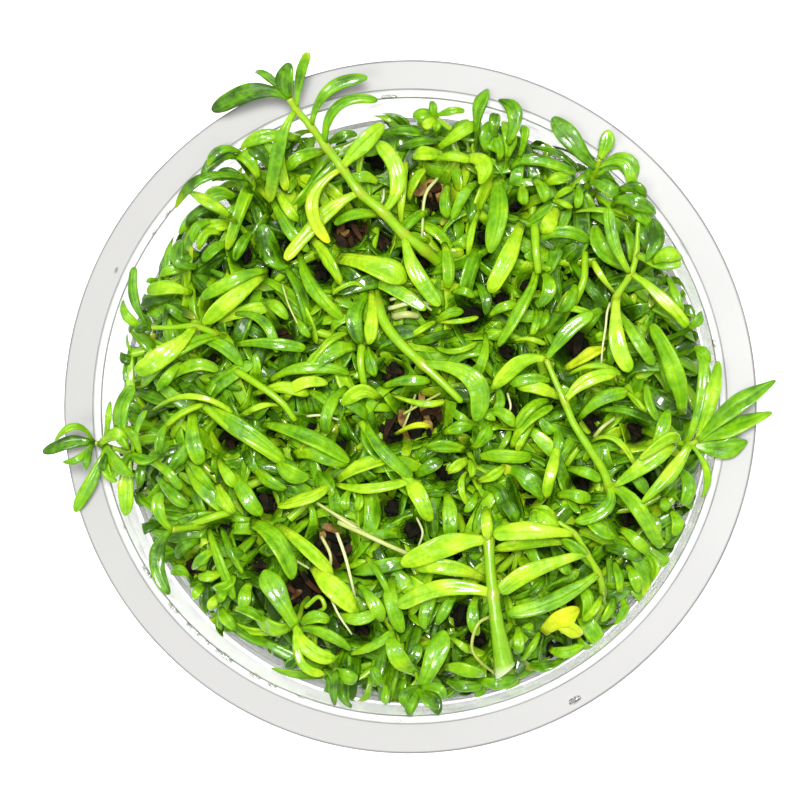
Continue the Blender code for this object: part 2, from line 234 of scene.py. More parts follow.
class Wire:
    """One output of a node, with arithmetic that adds Math nodes to its tree."""

    __add__, __radd__ = arithmetic("ADD")
    __sub__, __rsub__ = arithmetic("SUBTRACT")
    __mul__, __rmul__ = arithmetic("MULTIPLY")
    __pow__, __rpow__ = arithmetic("POWER")

    def __init__(self, tree: "Tree", socket: bpy.types.NodeSocket) -> None:
        """Keeps the tree and the socket."""
        self.tree = tree
        self.socket = socket

    def out(self, name: str) -> "Wire":
        """Another output of the same node."""
        return Wire(self.tree, self.tree.find(self.socket.node.outputs, name))

    def math(self, operation: str, *values: Any, clamp: bool = False) -> "Wire":
        """Adds one Math node.

        Args:
            operation: The Math node's operation.
            values: Its inputs, each a Wire or a number.
            clamp: Whether the result is kept from 0 to 1.

        Returns:
            The node's result.
        """
        return self.tree.node("ShaderNodeMath", dict(enumerate(values)), operation=operation, use_clamp=clamp)

    def __abs__(self) -> "Wire":
        """The value without its sign."""
        return self.math("ABSOLUTE", self)

    def clamped(self) -> "Wire":
        """The value kept from 0 to 1."""
        return self.math("ADD", self, 0.0, clamp=True)

    def ramp(self, low: float, high: float) -> "Wire":
        """0 where the value is at low, 1 where it is at high, smoothly between them."""
        inputs = {"Value": self, "From Min": low, "From Max": high}
        return self.tree.node("ShaderNodeMapRange", inputs, interpolation_type="SMOOTHSTEP")


class Tree:
    """A node tree, and the one way nodes are added to it."""

    def __init__(self, tree: bpy.types.NodeTree) -> None:
        """Keeps the tree."""
        self.tree = tree

    @staticmethod
    def find(sockets: Any, key: str | int) -> bpy.types.NodeSocket:
        """Finds a socket.

        Args:
            sockets: A node's inputs or outputs.
            key: A place in the list, an identifier, or a name.

        Returns:
            The socket.
        """
        if isinstance(key, int):
            return sockets[key]
        by_identifier = [socket for socket in sockets if socket.identifier == key]
        return (by_identifier or [socket for socket in sockets if socket.name == key and socket.enabled])[0]

    def node(
        self, kind: str, inputs: dict[Any, Any] | None = None, output: str | int = 0, **settings: Any,
    ) -> Wire:
        """Adds a node.

        Args:
            kind: The node's type.
            inputs: Values or Wires for its sockets, by place, identifier or name.
            output: The output that is returned.
            settings: Its properties, set first; "stops" holds a colour ramp's places and colours.

        Returns:
            The chosen output.
        """
        made = self.tree.nodes.new(kind)
        for name, value in settings.items():
            if name == "stops":
                self.set_stops(made.color_ramp, value)
            else:
                setattr(made, name, value)
        for key, value in (inputs or {}).items():
            socket = self.find(made.inputs, key)
            for item in value if isinstance(value, list) else [value]:
                if isinstance(item, Wire):
                    self.tree.links.new(item.socket, socket)
                else:
                    socket.default_value = item
        if not made.outputs:
            return Wire(self, made.inputs[0])
        return Wire(self, self.find(made.outputs, output))

    @staticmethod
    def set_stops(ramp: bpy.types.ColorRamp, stops: Iterable[tuple[float, Place]]) -> None:
        """Gives a colour ramp its stops.

        Args:
            ramp: The ramp.
            stops: A place from 0 to 1 and a colour each.
        """
        for number, (place, colour) in enumerate(stops):
            stop = ramp.elements[number] if number < 2 else ramp.elements.new(place)
            stop.position = place
            stop.color = (*colour, 1.0)

    def mix(self, share: Any, first: Any, second: Any) -> Wire:
        """A colour between two others."""
        inputs = {"Factor_Float": share, "A_Color": self.colour(first), "B_Color": self.colour(second)}
        return self.node("ShaderNodeMix", inputs, "Result_Color", data_type="RGBA")

    @staticmethod
    def colour(value: Any) -> Any:
        """A Wire as it is, or three numbers with a fourth for opacity."""
        return value if isinstance(value, Wire) else (*value, 1.0)

    def noise(self, vector: Wire, scale: float, detail: float = 2.0, roughness: float = 0.5) -> Wire:
        """A noise value around 0.5."""
        inputs = {"Vector": vector, "Scale": scale, "Detail": detail, "Roughness": roughness}
        return self.node("ShaderNodeTexNoise", inputs, "Fac")

    def attribute(self, name: str) -> Wire:
        """A value that the mesh holds."""
        return self.node("ShaderNodeAttribute", None, "Fac", attribute_name=name)

    def object_place(self) -> Wire:
        """The place on the object, in metres."""
        return self.node("ShaderNodeTexCoord", None, "Object")

    def split(self, vector: Wire) -> Wire:
        """The X of a vector, whose node gives Y and Z too."""
        return self.node("ShaderNodeSeparateXYZ", {0: vector}, "X")

    def vector(self, x: Any, y: Any, z: Any) -> Wire:
        """A vector of three values."""
        return self.node("ShaderNodeCombineXYZ", {"X": x, "Y": y, "Z": z})

    def bump(self, height: Wire, distance: float, strength: float) -> Wire:
        """A normal from a height; distance is in metres."""
        inputs = {"Height": height, "Distance": distance, "Strength": strength}
        return self.node("ShaderNodeBump", inputs, "Normal")


class Finish:
    """A finish: one Principled material, made once."""

    name = "finish"
    fixed: dict[str, Any] = {}

    def __init__(self) -> None:
        """Nothing is made until the material is asked for."""
        self._made: bpy.types.Material | None = None

    @property
    def material(self) -> bpy.types.Material:
        """The material, made at the first call."""
        if self._made is None:
            made = bpy.data.materials.new(self.name)
            made.use_nodes = True
            made.node_tree.nodes.clear()
            tree = Tree(made.node_tree)
            tree.node("ShaderNodeOutputMaterial", {"Surface": self.surface(tree)})
            self._made = made
        return self._made

    def surface(self, tree: Tree) -> Wire:
        """The shader of the surface."""
        return tree.node("ShaderNodeBsdfPrincipled", {**self.fixed, **self.varied(tree)}, "BSDF")

    def varied(self, tree: Tree) -> dict[str, Any]:
        """The inputs that change over the surface."""
        return {}


class LeafFinish(Finish):
    """Wet green leaf: a lighter midrib, a paler leaf edge that is partly a painted edge highlight, faint
    veins, tips that turn yellow with age, and painted shade that darkens leaves low in the growth.
    """

    name = "leaf"
    fixed = {"IOR": 1.42, "Specular IOR Level": 0.28, "Coat Roughness": 0.09, "Coat IOR": 1.45}
    # Painted shade: the near-black green that leaves low in the growth are darkened towards
    shaded = (0.010, 0.030, 0.0005)
    deep = (0.025, 0.078, 0.001)
    green = (0.105, 0.285, 0.002)
    bright = (0.225, 0.435, 0.004)
    crown = (0.33, 0.51, 0.012)
    yellow = (0.50, 0.56, 0.012)
    brown = (0.13, 0.06, 0.012)

    def varied(self, tree: Tree) -> dict[str, Any]:
        """Colour, roughness, wetness and relief over the blade."""
        place = tree.object_place()
        around = tree.split(tree.node("ShaderNodeUVMap", uv_map="blade"))
        along = around.out("Y")
        folded = around.math("PINGPONG", around, 1.0)
        across = abs(folded * 2.0 - 1.0)
        tint, age = tree.attribute("tint"), tree.attribute("age")
        veins = tree.noise(tree.vector(folded * 7.0, along * 1.4, tint * 37.0), 1.0)
        patches = tree.noise(place, 330.0)
        fleshy = tree.noise(place, 1300.0)
        midrib = 1.0 - across.ramp(0.02, 0.14)
        # Lighter along the leaf's rim: partly its own paler edge, partly a painted highlight along the edge
        margin_and_edge_highlight = across.ramp(0.78, 1.0)
        base = 1.0 - along.ramp(0.0, 0.35)
        level = tint + (veins - 0.5) * 0.7 + (patches - 0.5) * 1.1 + (fleshy - 0.5) * 0.4
        spot = tree.split(place)
        radius = (spot * spot + spot.out("Y") * spot.out("Y")) ** 0.5
        # Painted shade: leaves below the top of the growth, away from the wall, are made darker
        low = (1.0 - spot.out("Z").ramp(0.031, 0.0385)) * (1.0 - radius.ramp(0.034, 0.038))
        level = level + midrib * 0.04 + margin_and_edge_highlight * 0.22 + base * 0.12 - low * 0.25
        stops = ((0.0, self.deep), (0.4, self.green), (0.82, self.bright), (1.0, self.crown))
        colour = tree.node("ShaderNodeValToRGB", {"Fac": level.clamped()}, "Color", stops=stops)
        aged = (age * 1.6 - 0.8 + (patches - 0.5) * 0.6).clamped() + along.ramp(0.55, 1.0) * age
        colour = tree.mix(aged.clamped(), colour, self.yellow)
        scorched = (age - 0.72).clamped() * along.ramp(0.9, 1.0) * 3.0
        colour = tree.mix(scorched.clamped(), colour, self.brown)
        # Painted shade mixed into leaves low in the growth
        colour = tree.mix(low * 0.6, colour, self.shaded)
        wet = tree.noise(place, 260.0).ramp(0.42, 0.58)
        relief = veins * 0.2 + fleshy * 0.5 - midrib * 0.12 + patches * 1.6
        return {
            "Base Color": colour,
            "Roughness": 0.46 - wet * 0.1 + (fleshy - 0.5) * 0.2,
            "Coat Weight": wet * 0.85,
            "Normal": tree.bump(relief, 0.0004, 0.9),
        }


class StemFinish(Finish):
    """Smooth yellow-green stem, browner at its joints, pale where it is cut."""

    name = "stem"
    fixed = {
        "IOR": 1.42, "Specular IOR Level": 0.5, "Coat Roughness": 0.08,
        "Subsurface Weight": 0.25, "Subsurface Radius": (0.4, 1.0, 0.1), "Subsurface Scale": 0.0013,
    }
    green = (0.11, 0.30, 0.003)
    lime = (0.28, 0.48, 0.006)
    joint = (0.28, 0.36, 0.015)
    pale = (0.60, 0.63, 0.40)

    def varied(self, tree: Tree) -> dict[str, Any]:
        """Streaks along the stem, joints and cut ends."""
        place = tree.object_place()
        tint, age, pale = tree.attribute("tint"), tree.attribute("age"), tree.attribute("pale")
        streaks = tree.noise(place, 700.0)
        level = (tint + (streaks - 0.5) * 0.7).clamped()
        colour = tree.mix(level, self.green, self.lime)
        colour = tree.mix((age * 0.8).clamped(), colour, self.joint)
        colour = tree.mix(pale, colour, self.pale)
        return {
            "Base Color": colour,
            "Roughness": 0.3 + (streaks - 0.5) * 0.2,
            "Coat Weight": tree.noise(place, 300.0).ramp(0.4, 0.6) * 0.6,
            "Normal": tree.bump(streaks, 0.00012, 0.6),
        }


class ThreadFinish(Finish):
    """Pale roots and dry straw."""

    name = "thread"
    fixed = {
        "IOR": 1.4,
        "Subsurface Weight": 0.3, "Subsurface Radius": (1.0, 0.9, 0.5), "Subsurface Scale": 0.0008,
    }
    straw = (0.30, 0.35, 0.05)
    white = (0.56, 0.60, 0.30)

    def varied(self, tree: Tree) -> dict[str, Any]:
        """From straw to white along the thread."""
        streaks = tree.noise(tree.object_place(), 500.0)
        colour = tree.mix((tree.attribute("pale") + (streaks - 0.5) * 0.5).clamped(), self.straw, self.white)
        return {"Base Color": colour, "Roughness": 0.35 + (streaks - 0.5) * 0.2}


class PlasticFinish(Finish):
    """Milky clear plastic: a hazy wall, and a whiter flange, with grey lines of painted shade along each edge
    of the rim.
    """

    name = "clear_plastic"
    wall = {"IOR": 1.12, "Transmission Weight": 0.85, "Specular IOR Level": 0.4}
    flange = {"IOR": 1.4, "Transmission Weight": 0.15, "Specular IOR Level": 0.2}
    wall_colour = (0.97, 0.975, 0.965)
    flange_colour = (0.322, 0.319, 0.312)
    seat_colour = (0.55, 0.55, 0.54)
    # Painted shade: the grey of the lines along each edge of the rim, where clear plastic looks dark
    painted_edge_shade = (0.15, 0.15, 0.15)
    painted_edge_rings = ((FLANGE_RADIUS - 0.15, 0.2), (MOUTH_RADIUS + 0.05, 0.16), (SEAT_RADIUS - 0.05, 0.18))
    grey_patch_radius = SEAT_RADIUS - 0.55

    def surface(self, tree: Tree) -> Wire:
        """Faint clouding, grey lines of painted shade along each edge of the rim, grey patches in a ring
        under the seat and waves from the moulding.
        """
        place = tree.object_place()
        cloud = tree.noise(place, 45.0, 3.0)
        spot = tree.split(place)
        height = spot.out("Z")
        high = height.ramp(0.0448, 0.0452)
        radius = (spot * spot + spot.out("Y") * spot.out("Y")) ** 0.5
        edge_line_noise = tree.noise(place, 160.0)
        # Painted shade: grey lines at the flange's outer edge, the mouth and the seat, their strength varied
        # by noise
        line = 0.0
        for ring, half in self.painted_edge_rings:
            line = (1.0 - abs(radius - ring * MM).ramp(0.0, half * MM)) + line
        line = line * high * (0.4 + edge_line_noise * 0.8)
        # Grey patches in a ring just under the seat, where noise allows
        grey_patch = 1.0 - abs(radius - self.grey_patch_radius * MM).ramp(0.0, 0.0006)
        grey_patch = grey_patch * tree.noise(place, 210.0).ramp(0.56, 0.66)
        line = (line + grey_patch * 0.5 * height.ramp(0.040, 0.042)).clamped()
        normal = tree.bump(tree.noise(place, 90.0), 0.00012, 0.3)
        outer = radius.ramp(MOUTH_RADIUS * MM, (MOUTH_RADIUS + 0.1) * MM)
        rim = tree.mix(outer, self.seat_colour, self.flange_colour)
        shaders = []
        for fixed, base, rough in ((self.wall, self.wall_colour, 0.1), (self.flange, rim, 0.3)):
            colour = tree.mix(cloud * 0.06, base, (0.5, 0.5, 0.5))
            colour = tree.mix(line, colour, self.painted_edge_shade)
            varied = {"Base Color": colour, "Roughness": rough + cloud * 0.1, "Normal": normal}
            shaders.append(tree.node("ShaderNodeBsdfPrincipled", {**fixed, **varied}, "BSDF"))
        return tree.node("ShaderNodeMixShader", {0: high, 1: shaders[0], 2: shaders[1]}, "Shader")


class GelFinish(Finish):
    """Wet brown agar, seen through."""

    name = "nutrient_gel"
    fixed = {"IOR": 1.34, "Transmission Weight": 0.7, "Specular IOR Level": 0.5}

    def varied(self, tree: Tree) -> dict[str, Any]:
        """Darker and lighter clouds, with dark crumbs."""
        place = tree.object_place()
        cloud = tree.noise(place, 90.0, 4.0)
        crumbs = tree.noise(place, 650.0, 3.0, 0.6).ramp(0.56, 0.66)
        colour = tree.mix(cloud, (0.20, 0.085, 0.03), (0.42, 0.22, 0.08))
        colour = tree.mix(crumbs, colour, (0.06, 0.025, 0.01))
        normal = tree.bump(cloud, 0.0006, 0.6)
        return {"Base Color": colour, "Roughness": 0.12 + crumbs * 0.3, "Normal": normal}


class DeadFinish(Finish):
    """Brown and maroon rot, duller where it is darker; its near-black end is painted shade for the gaps."""

    name = "dead_leaf"
    fixed = {"IOR": 1.4, "Specular IOR Level": 0.15}

    def varied(self, tree: Tree) -> dict[str, Any]:
        """From maroon to tan."""
        level = tree.attribute("tint") + (tree.noise(tree.object_place(), 900.0, 3.0) - 0.5) * 0.8
        # The near-black first stop is painted shade, taken by the sheets in the gaps
        stops = ((0.0, (0.004, 0.004, 0.001)), (0.6, (0.06, 0.022, 0.006)), (1.0, (0.36, 0.22, 0.06)))
        colour = tree.node("ShaderNodeValToRGB", {"Fac": level.clamped()}, "Color", stops=stops)
        return {"Base Color": colour, "Roughness": 0.75 - level.clamped() * 0.3}


class WaterFinish(Finish):
    """Clean water."""

    name = "water"
    fixed = {"IOR": 1.33, "Transmission Weight": 1.0, "Base Color": (1.0, 1.0, 1.0, 1.0), "Roughness": 0.0}


class FloorFinish(Finish):
    """A plain pale floor."""

    name = "floor"
    fixed = {"Base Color": (0.97, 0.97, 0.97, 1.0), "Roughness": 0.9, "Specular IOR Level": 0.1}


LEAF, STEM, THREAD, DEAD = LeafFinish(), StemFinish(), ThreadFinish(), DeadFinish()
PLASTIC, GEL, WATER, FLOOR = PlasticFinish(), GelFinish(), WaterFinish(), FloorFinish()


@dataclass(frozen=True)
class Eye:
    """The point that the cup is looked at from, high over it and a little off its axis."""

    distance: float = 500.0
    offset: Spot = (34.0, -24.0)
    aim: Spot = (-1.1, 0.7)
    view_width: float = 109.35
    sensor: float = 36.0

    def frame(self) -> tuple[Vector, Vector, Vector, Vector, Vector]:
        """The eye's place, the rim's centre, and the directions forward, right and up."""
        rim_centre = Vector((0.0, 0.0, CUP_HEIGHT))
        rise = math.sqrt(self.distance**2 - self.offset[0] ** 2 - self.offset[1] ** 2)
        forward = -Vector((*self.offset, rise)).normalized()
        right = forward.cross(Vector((0.0, 1.0, 0.0))).normalized()
        up = right.cross(forward)
        place = rim_centre - forward * self.distance + right * self.aim[0] + up * self.aim[1]
        return place, rim_centre, forward, right, up

    def placed(self, point: Place) -> Vector:
        """The true place of a point as seen.

        Args:
            point: The x and y it looks to be at, and its true height.

        Returns:
            Its place in millimetres.
        """
        place, rim_centre, _, right, up = self.frame()
        x, y, z = point
        seen = rim_centre + right * x + up * y
        return place + (seen - place) * ((z - place.z) / (seen.z - place.z))

    def add_camera(self) -> None:
        """Adds the camera and makes it the scene's."""
        place, _, forward, right, up = self.frame()
        data = bpy.data.cameras.new("camera")
        data.sensor_width = self.sensor
        data.lens = self.sensor * self.distance / self.view_width
        data.clip_start, data.clip_end = 0.01, 10.0
        camera = add_object("camera", data)
        turn = Matrix((right, up, -forward)).transposed().to_4x4()
        camera.matrix_world = Matrix.Translation(place * MM) @ turn
        bpy.context.scene.camera = camera


EYE = Eye()


class Draft:
    """Gathers closed shapes into one mesh with a UV map and three values a point."""

    def __init__(self) -> None:
        """Starts empty."""
        self.points: list[np.ndarray] = []
        self.faces: list[list[int]] = []
        self.corners: list[list[Spot]] = []
        self.values: dict[str, list[np.ndarray]] = {"tint": [], "age": [], "pale": []}
        self.count = 0

    def add_rings(
        self, rings: np.ndarray, ends: tuple[Vector, Vector] | None = None, **values: Any,
    ) -> None:
        """Adds a closed skin over rings of points.

        Args:
            rings: Points in millimetres, shaped (rings, points a ring, 3), turning the right way round.
            ends: The points that close the first and the last ring, or nothing for those rings' middles.
            values: tint, age and pale, each a number or one number a ring.
        """
        ends = ends or (rings[0].mean(axis=0), rings[-1].mean(axis=0))
        count, around = rings.shape[:2]
        start = self.count
        self.points.append(np.concatenate([rings.reshape(-1, 3), np.array(ends)]))
        for name, store in self.values.items():
            value = np.broadcast_to(np.asarray(values.get(name, 0.0), float), (count,))
            store.append(np.concatenate([np.repeat(value, around), value[[0, -1]]]))
        low, high = start + count * around, start + count * around + 1
        step_u, step_v = 2.0 / around, 1.0 / (count - 1)
        for i in range(around):
            j, u, w = (i + 1) % around, i * step_u, (i + 1) * step_u
            for row in range(count - 1):
                a, b = start + row * around, start + (row + 1) * around
                self.faces.append([a + i, a + j, b + j, b + i])
                v, t = row * step_v, (row + 1) * step_v
                self.corners.append([(u, v), (w, v), (w, t), (u, t)])
            last = start + (count - 1) * around
            self.faces.append([start + j, start + i, low])
            self.corners.append([(w, 0.0), (u, 0.0), (u, 0.0)])
            self.faces.append([last + i, last + j, high])
            self.corners.append([(u, 1.0), (w, 1.0), (u, 1.0)])
        self.count += count * around + 2

    def mesh(self, name: str, finish: Finish) -> bpy.types.Mesh:
        """The mesh of everything that was added, in metres and shaded smooth.

        Args:
            name: Its name.
            finish: Its one finish.

        Returns:
            The mesh.
        """
        mesh = bpy.data.meshes.new(name)
        mesh.from_pydata((np.concatenate(self.points) * MM).tolist(), [], self.faces)
        layer = mesh.uv_layers.new(name="blade")
        flat = [value for face in self.corners for corner in face for value in corner]
        layer.data.foreach_set("uv", flat)
        for key, store in self.values.items():
            attribute = mesh.attributes.new(key, "FLOAT", "POINT")
            attribute.data.foreach_set("value", np.concatenate(store).astype(np.float32))
        mesh.materials.append(finish.material)
        mesh.shade_smooth()
        return mesh


def add_object(name: str, data: bpy.types.ID) -> bpy.types.Object:
    """A new object in the scene."""
    obj = bpy.data.objects.new(name, data)
    bpy.context.scene.collection.objects.link(obj)
    return obj


def add_piece(name: str, mesh: bpy.types.Mesh, slot: str, *nodes: str) -> bpy.types.Object:
    """Adds a finished piece that rides on the part.

    Args:
        name: The piece's name.
        mesh: Its mesh, in place, in metres.
        slot: The record's material slot; not used.
        nodes: The CAD nodes that it stands for.

    Returns:
        The piece's object.
    """
    obj = add_object(name, mesh)
    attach(obj, BODY)
    if nodes:
        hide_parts(*nodes)
    triangles = sum(len(polygon.vertices) - 2 for polygon in mesh.polygons)
    log.info("%s: %d triangles, stands for %s", name, triangles, ", ".join(nodes) or "no node")
    return obj


def smooth(points: list[Vector], spans: int) -> list[Vector]:
    """Points along one smooth curve.

    Args:
        points: The points that it goes through.
        spans: How many steps there are from one of them to the next.

    Returns:
        The curve's points.
    """
    ends = [2 * points[0] - points[1], *points, 2 * points[-1] - points[-2]]
    curve = []
    for a, b, c, d in zip(ends, ends[1:], ends[2:], ends[3:]):
        for step in range(spans):
            t = step / spans
            bend = (2 * a - 5 * b + 4 * c - d) * t**2 + (3 * b - a - 3 * c + d) * t**3
            curve.append(0.5 * (2 * b + (c - a) * t + bend))
    return [*curve, points[-1].copy()]


def ease(value: np.ndarray) -> np.ndarray:
    """0 below 0, 1 above 1, smoothly between them."""
    value = np.clip(value, 0.0, 1.0)
    return value * value * (3.0 - 2.0 * value)


@dataclass(frozen=True)
class Blade:
    """A leaf's blade: an arched, folded, fleshy lance with a rounded tip.

    foot, mid and tip are true places; the turns are in radians about the blade's own length; tip_round is
    the rounded end's length as a share of the width.
    """

    foot: Vector
    mid: Vector
    tip: Vector
    width: float
    peak: float
    foot_share: float
    tip_share: float
    tip_round: float
    fold: float
    wave: float
    lumps: float
    phase: float
    tip_turn: float
    foot_turn: float = 0.0
    rows: int = 13
    around: int = 16
    thickness: float = 0.8

    @classmethod
    def varied(
        cls, foot: Vector, mid: Vector, tip: Vector, width: float, rng: random.Random, **sizes: Any,
    ) -> "Blade":
        """A blade with its own chance outline.

        Args:
            foot: Where it leaves its stem.
            mid: Its middle.
            tip: Its tip.
            width: Its widest width.
            rng: Where chance comes from.
            sizes: Fields that are given.

        Returns:
            The blade.
        """
        ranges = {
            "peak": (0.42, 0.7), "foot_share": (0.4, 0.55), "tip_share": (0.7, 0.95), "tip_round": (0.5, 1.0),
            "fold": (0.02, 0.22), "wave": (0.03, 0.1), "lumps": (0.03, 0.08), "phase": (0.0, 6.0),
            "tip_turn": (-0.5, 0.5),
        }
        chance = {key: rng.uniform(*limits) for key, limits in ranges.items()}
        return cls(foot, mid, tip, width, **{**chance, **sizes})

    def half_width(self, t: np.ndarray) -> np.ndarray:
        """Half the width along the blade, with a narrow foot and a rounded tip.

        Args:
            t: Shares of the length, from the foot.

        Returns:
            Shares of the widest half width.
        """
        rise = self.foot_share + (1.0 - self.foot_share) * ease(t / self.peak)
        fall = 1.0 - (1.0 - self.tip_share) * ease((t - self.peak) / (1.0 - self.peak))
        cap = min(0.45, self.tip_round * self.width / (self.tip - self.foot).length)
        end = np.clip((t - 1.0 + cap) / cap, 0.0, 1.0)
        return rise * fall * np.sqrt(np.clip(1.0 - end**2, 0.0, 1.0))

    def skin(self) -> np.ndarray:
        """The rings of the blade's skin."""
        share = np.linspace(0.0, 1.0, self.rows)
        t = 1.0 - (1.0 - share) ** 1.6
        t[-1] = 0.994
        handle = 2 * self.mid - (self.foot + self.tip) / 2
        phi = np.arange(self.around) * 2 * math.pi / self.around
        across, lift = -np.cos(phi), np.sin(phi)
        groove = np.exp(-((across / 0.3) ** 2))
        rings = []
        for value, half_share in zip(t, self.half_width(t)):
            spot = self.foot * (1 - value) ** 2 + handle * 2 * value * (1 - value) + self.tip * value**2
            along = ((handle - self.foot) * (1 - value) + (self.tip - handle) * value).normalized()
            side = along.cross(Vector((0.0, 0.0, 1.0))).normalized()
            face = side.cross(along)
            turn = self.foot_turn * (1 - value) + self.tip_turn * value
            cos, sin = math.cos(turn), math.sin(turn)
            side, face = side * cos + face * sin, face * cos - side * sin
            half = self.width / 2 * half_share
            uneven = 1.0 + self.lumps * np.sin(8.0 * value + self.phase + 1.3 * np.sign(across))
            thick = self.thickness / 2 * min(1.0, 0.4 + half_share) * (1.2 - 0.4 * value)
            thick *= 1.0 + 2.0 * self.lumps * math.sin(11.0 * value + 2.0 * self.phase)
            sway = self.wave * half * np.sin(9.0 * value + self.phase + across) * across**2
            folded = self.fold * half * np.abs(across) ** 1.3 + sway
            flat = np.sign(lift) * np.abs(lift) ** 0.85 * thick
            dent = groove * thick * np.where(lift > 0, 0.3, 0.2) * math.sin(math.pi * min(1.0, value * 1.1))
            ring = np.outer(across * half * uneven, side) + np.outer(folded + flat - dent, face)
            rings.append(np.array(spot) + ring)
        return np.array(rings)

    def draw(self, draft: Draft, tint: float, age: float = 0.0, pressed: bool = False) -> None:
        """Adds the blade to a draft; a pressed one stays inside the cup's wall."""
        rings = kept_inside(self.skin()) if pressed else self.skin()
        draft.add_rings(rings[:, ::-1], tint=tint, age=age)


@dataclass(frozen=True)
class Stalk:
    """A round stem or thread along a route of true places."""

    route: list[Vector]
    radius: float
    flare: float = 1.0
    flare_power: float = 1.0
    slant: float = 0.0
    spans: int = 5
    sides: int = 12
    joints: tuple[int, ...] = ()
    swelling: float = 0.22
    cut_end: bool = False

    def draw(self, draft: Draft, tint: float = 0.6, pale: float = 0.0) -> None:
        """Adds the stalk to a draft: its joints are a little thicker and marked by age.

        Args:
            draft: Where it is added.
            tint: How bright it is.
            pale: How pale it is.
        """
        line = smooth(self.route, self.spans)
        lengths = np.cumsum([0.0, *[(b - a).length for a, b in zip(line, line[1:])]])
        joints = [lengths[index * self.spans] for index in self.joints]
        rings, age, pales = [], [], []
        side = None
        for i, spot in enumerate(line):
            along = (line[min(i + 1, len(line) - 1)] - line[max(i - 1, 0)]).normalized()
            if side is None:
                side = along.orthogonal()
            side = (side - along * side.dot(along)).normalized()
            face = along.cross(side)
            near = max((math.exp(-(((lengths[i] - joint) / 0.8) ** 2)) for joint in joints), default=0.0)
            share = lengths[i] / lengths[-1]
            size = self.radius * (1.0 + self.swelling * near)
            size *= 1.0 + (self.flare - 1.0) * share**self.flare_power
            turns = [2 * math.pi * k / self.sides for k in range(self.sides)]
            outward = [(side * math.cos(turn) + face * math.sin(turn)) * size for turn in turns]
            slant = self.slant if i == len(line) - 1 else 0.0
            rings.append([spot + out - along * slant * out.x for out in outward])
            age.append(near)
            pales.append(max(pale, 1.0 if self.cut_end and i == len(line) - 1 else 0.0))
        first = line[0] - (line[1] - line[0]).normalized() * self.radius * 0.4
        last = line[-1] + (line[-1] - line[-2]).normalized() * self.radius * (0.1 if self.cut_end else 0.5)
        draft.add_rings(np.array(rings, float), (first, last), tint=tint, age=age, pale=pales)


class Leaf(NamedTuple):
    """A leaf of a shoot: the route point it leaves, and places as seen with true heights."""

    at: int
    mid: Place
    tip: Place
    width: float
    tone: Tone = GREEN
    age: float = 0.0
    turn: float = 0.0


@dataclass(frozen=True)
class Shoot:
    """A stem that rises over the growth, with its leaves; each is a piece of its own."""

    name: str
    radius: float
    foot: Spot | None
    route: tuple[Place, ...]
    leaves: tuple[Leaf, ...]
    tip_share: float = 0.85
    shade: float = 0.0
    socket_depth: float = 4.0

    def stem_points(self) -> list[Vector]:
        """The stem's own points: its foot in the gel, a point above the gel, and its route."""
        route = [EYE.placed(point) for point in self.route]
        if self.foot is None:
            return route
        foot = Vector((*self.foot, GEL_TOP - self.socket_depth))
        above = Vector((*(foot.xy * 0.8 + route[0].xy * 0.2), GEL_TOP + 8.0))
        return [foot, above, *route]

    def build(self) -> None:
        """Builds the stem and every leaf."""
        points = self.stem_points()
        own = len(points) - len(self.route)
        draft = Draft()
        joints = tuple(sorted({leaf.at + own for leaf in self.leaves} | {own + 1}))
        looks = {"flare": 2.1, "flare_power": 3.5, "slant": 0.55, "cut_end": True}
        if self.foot:
            looks = {"flare": 0.5, "flare_power": 3.0}
        stem = Stalk(points, self.radius, joints=joints, spans=6, sides=16, **looks)
        stem.draw(draft, tint=0.6 if self.foot else 0.4)
        name = f"{self.name}_stem"
        add_piece(f"{name}_piece", draft.mesh(name, STEM), "stem_green", name)
        rng = random.Random(f"{self.name}{SEED}")
        for number, leaf in enumerate(self.leaves, 1):
            node = points[leaf.at + own]
            mid, tip = EYE.placed(leaf.mid), EYE.placed(leaf.tip)
            handle = 2 * mid - (node + tip) / 2
            foot = node + (handle - node).normalized() * self.radius * 0.5
            blade = Blade.varied(
                foot, mid, tip, leaf.width, rng, rows=22, around=24, tip_share=self.tip_share,
                foot_turn=leaf.turn + rng.uniform(-0.3, 0.3), tip_turn=leaf.turn + rng.uniform(-0.4, 0.4),
            )
            draft = Draft()
            blade.draw(draft, leaf.tone.tint - self.shade, leaf.age)
            node_name = f"{self.name}_leaf_{number}"
            add_piece(f"{node_name}_piece", draft.mesh(node_name, LEAF), leaf.tone.slot, node_name)


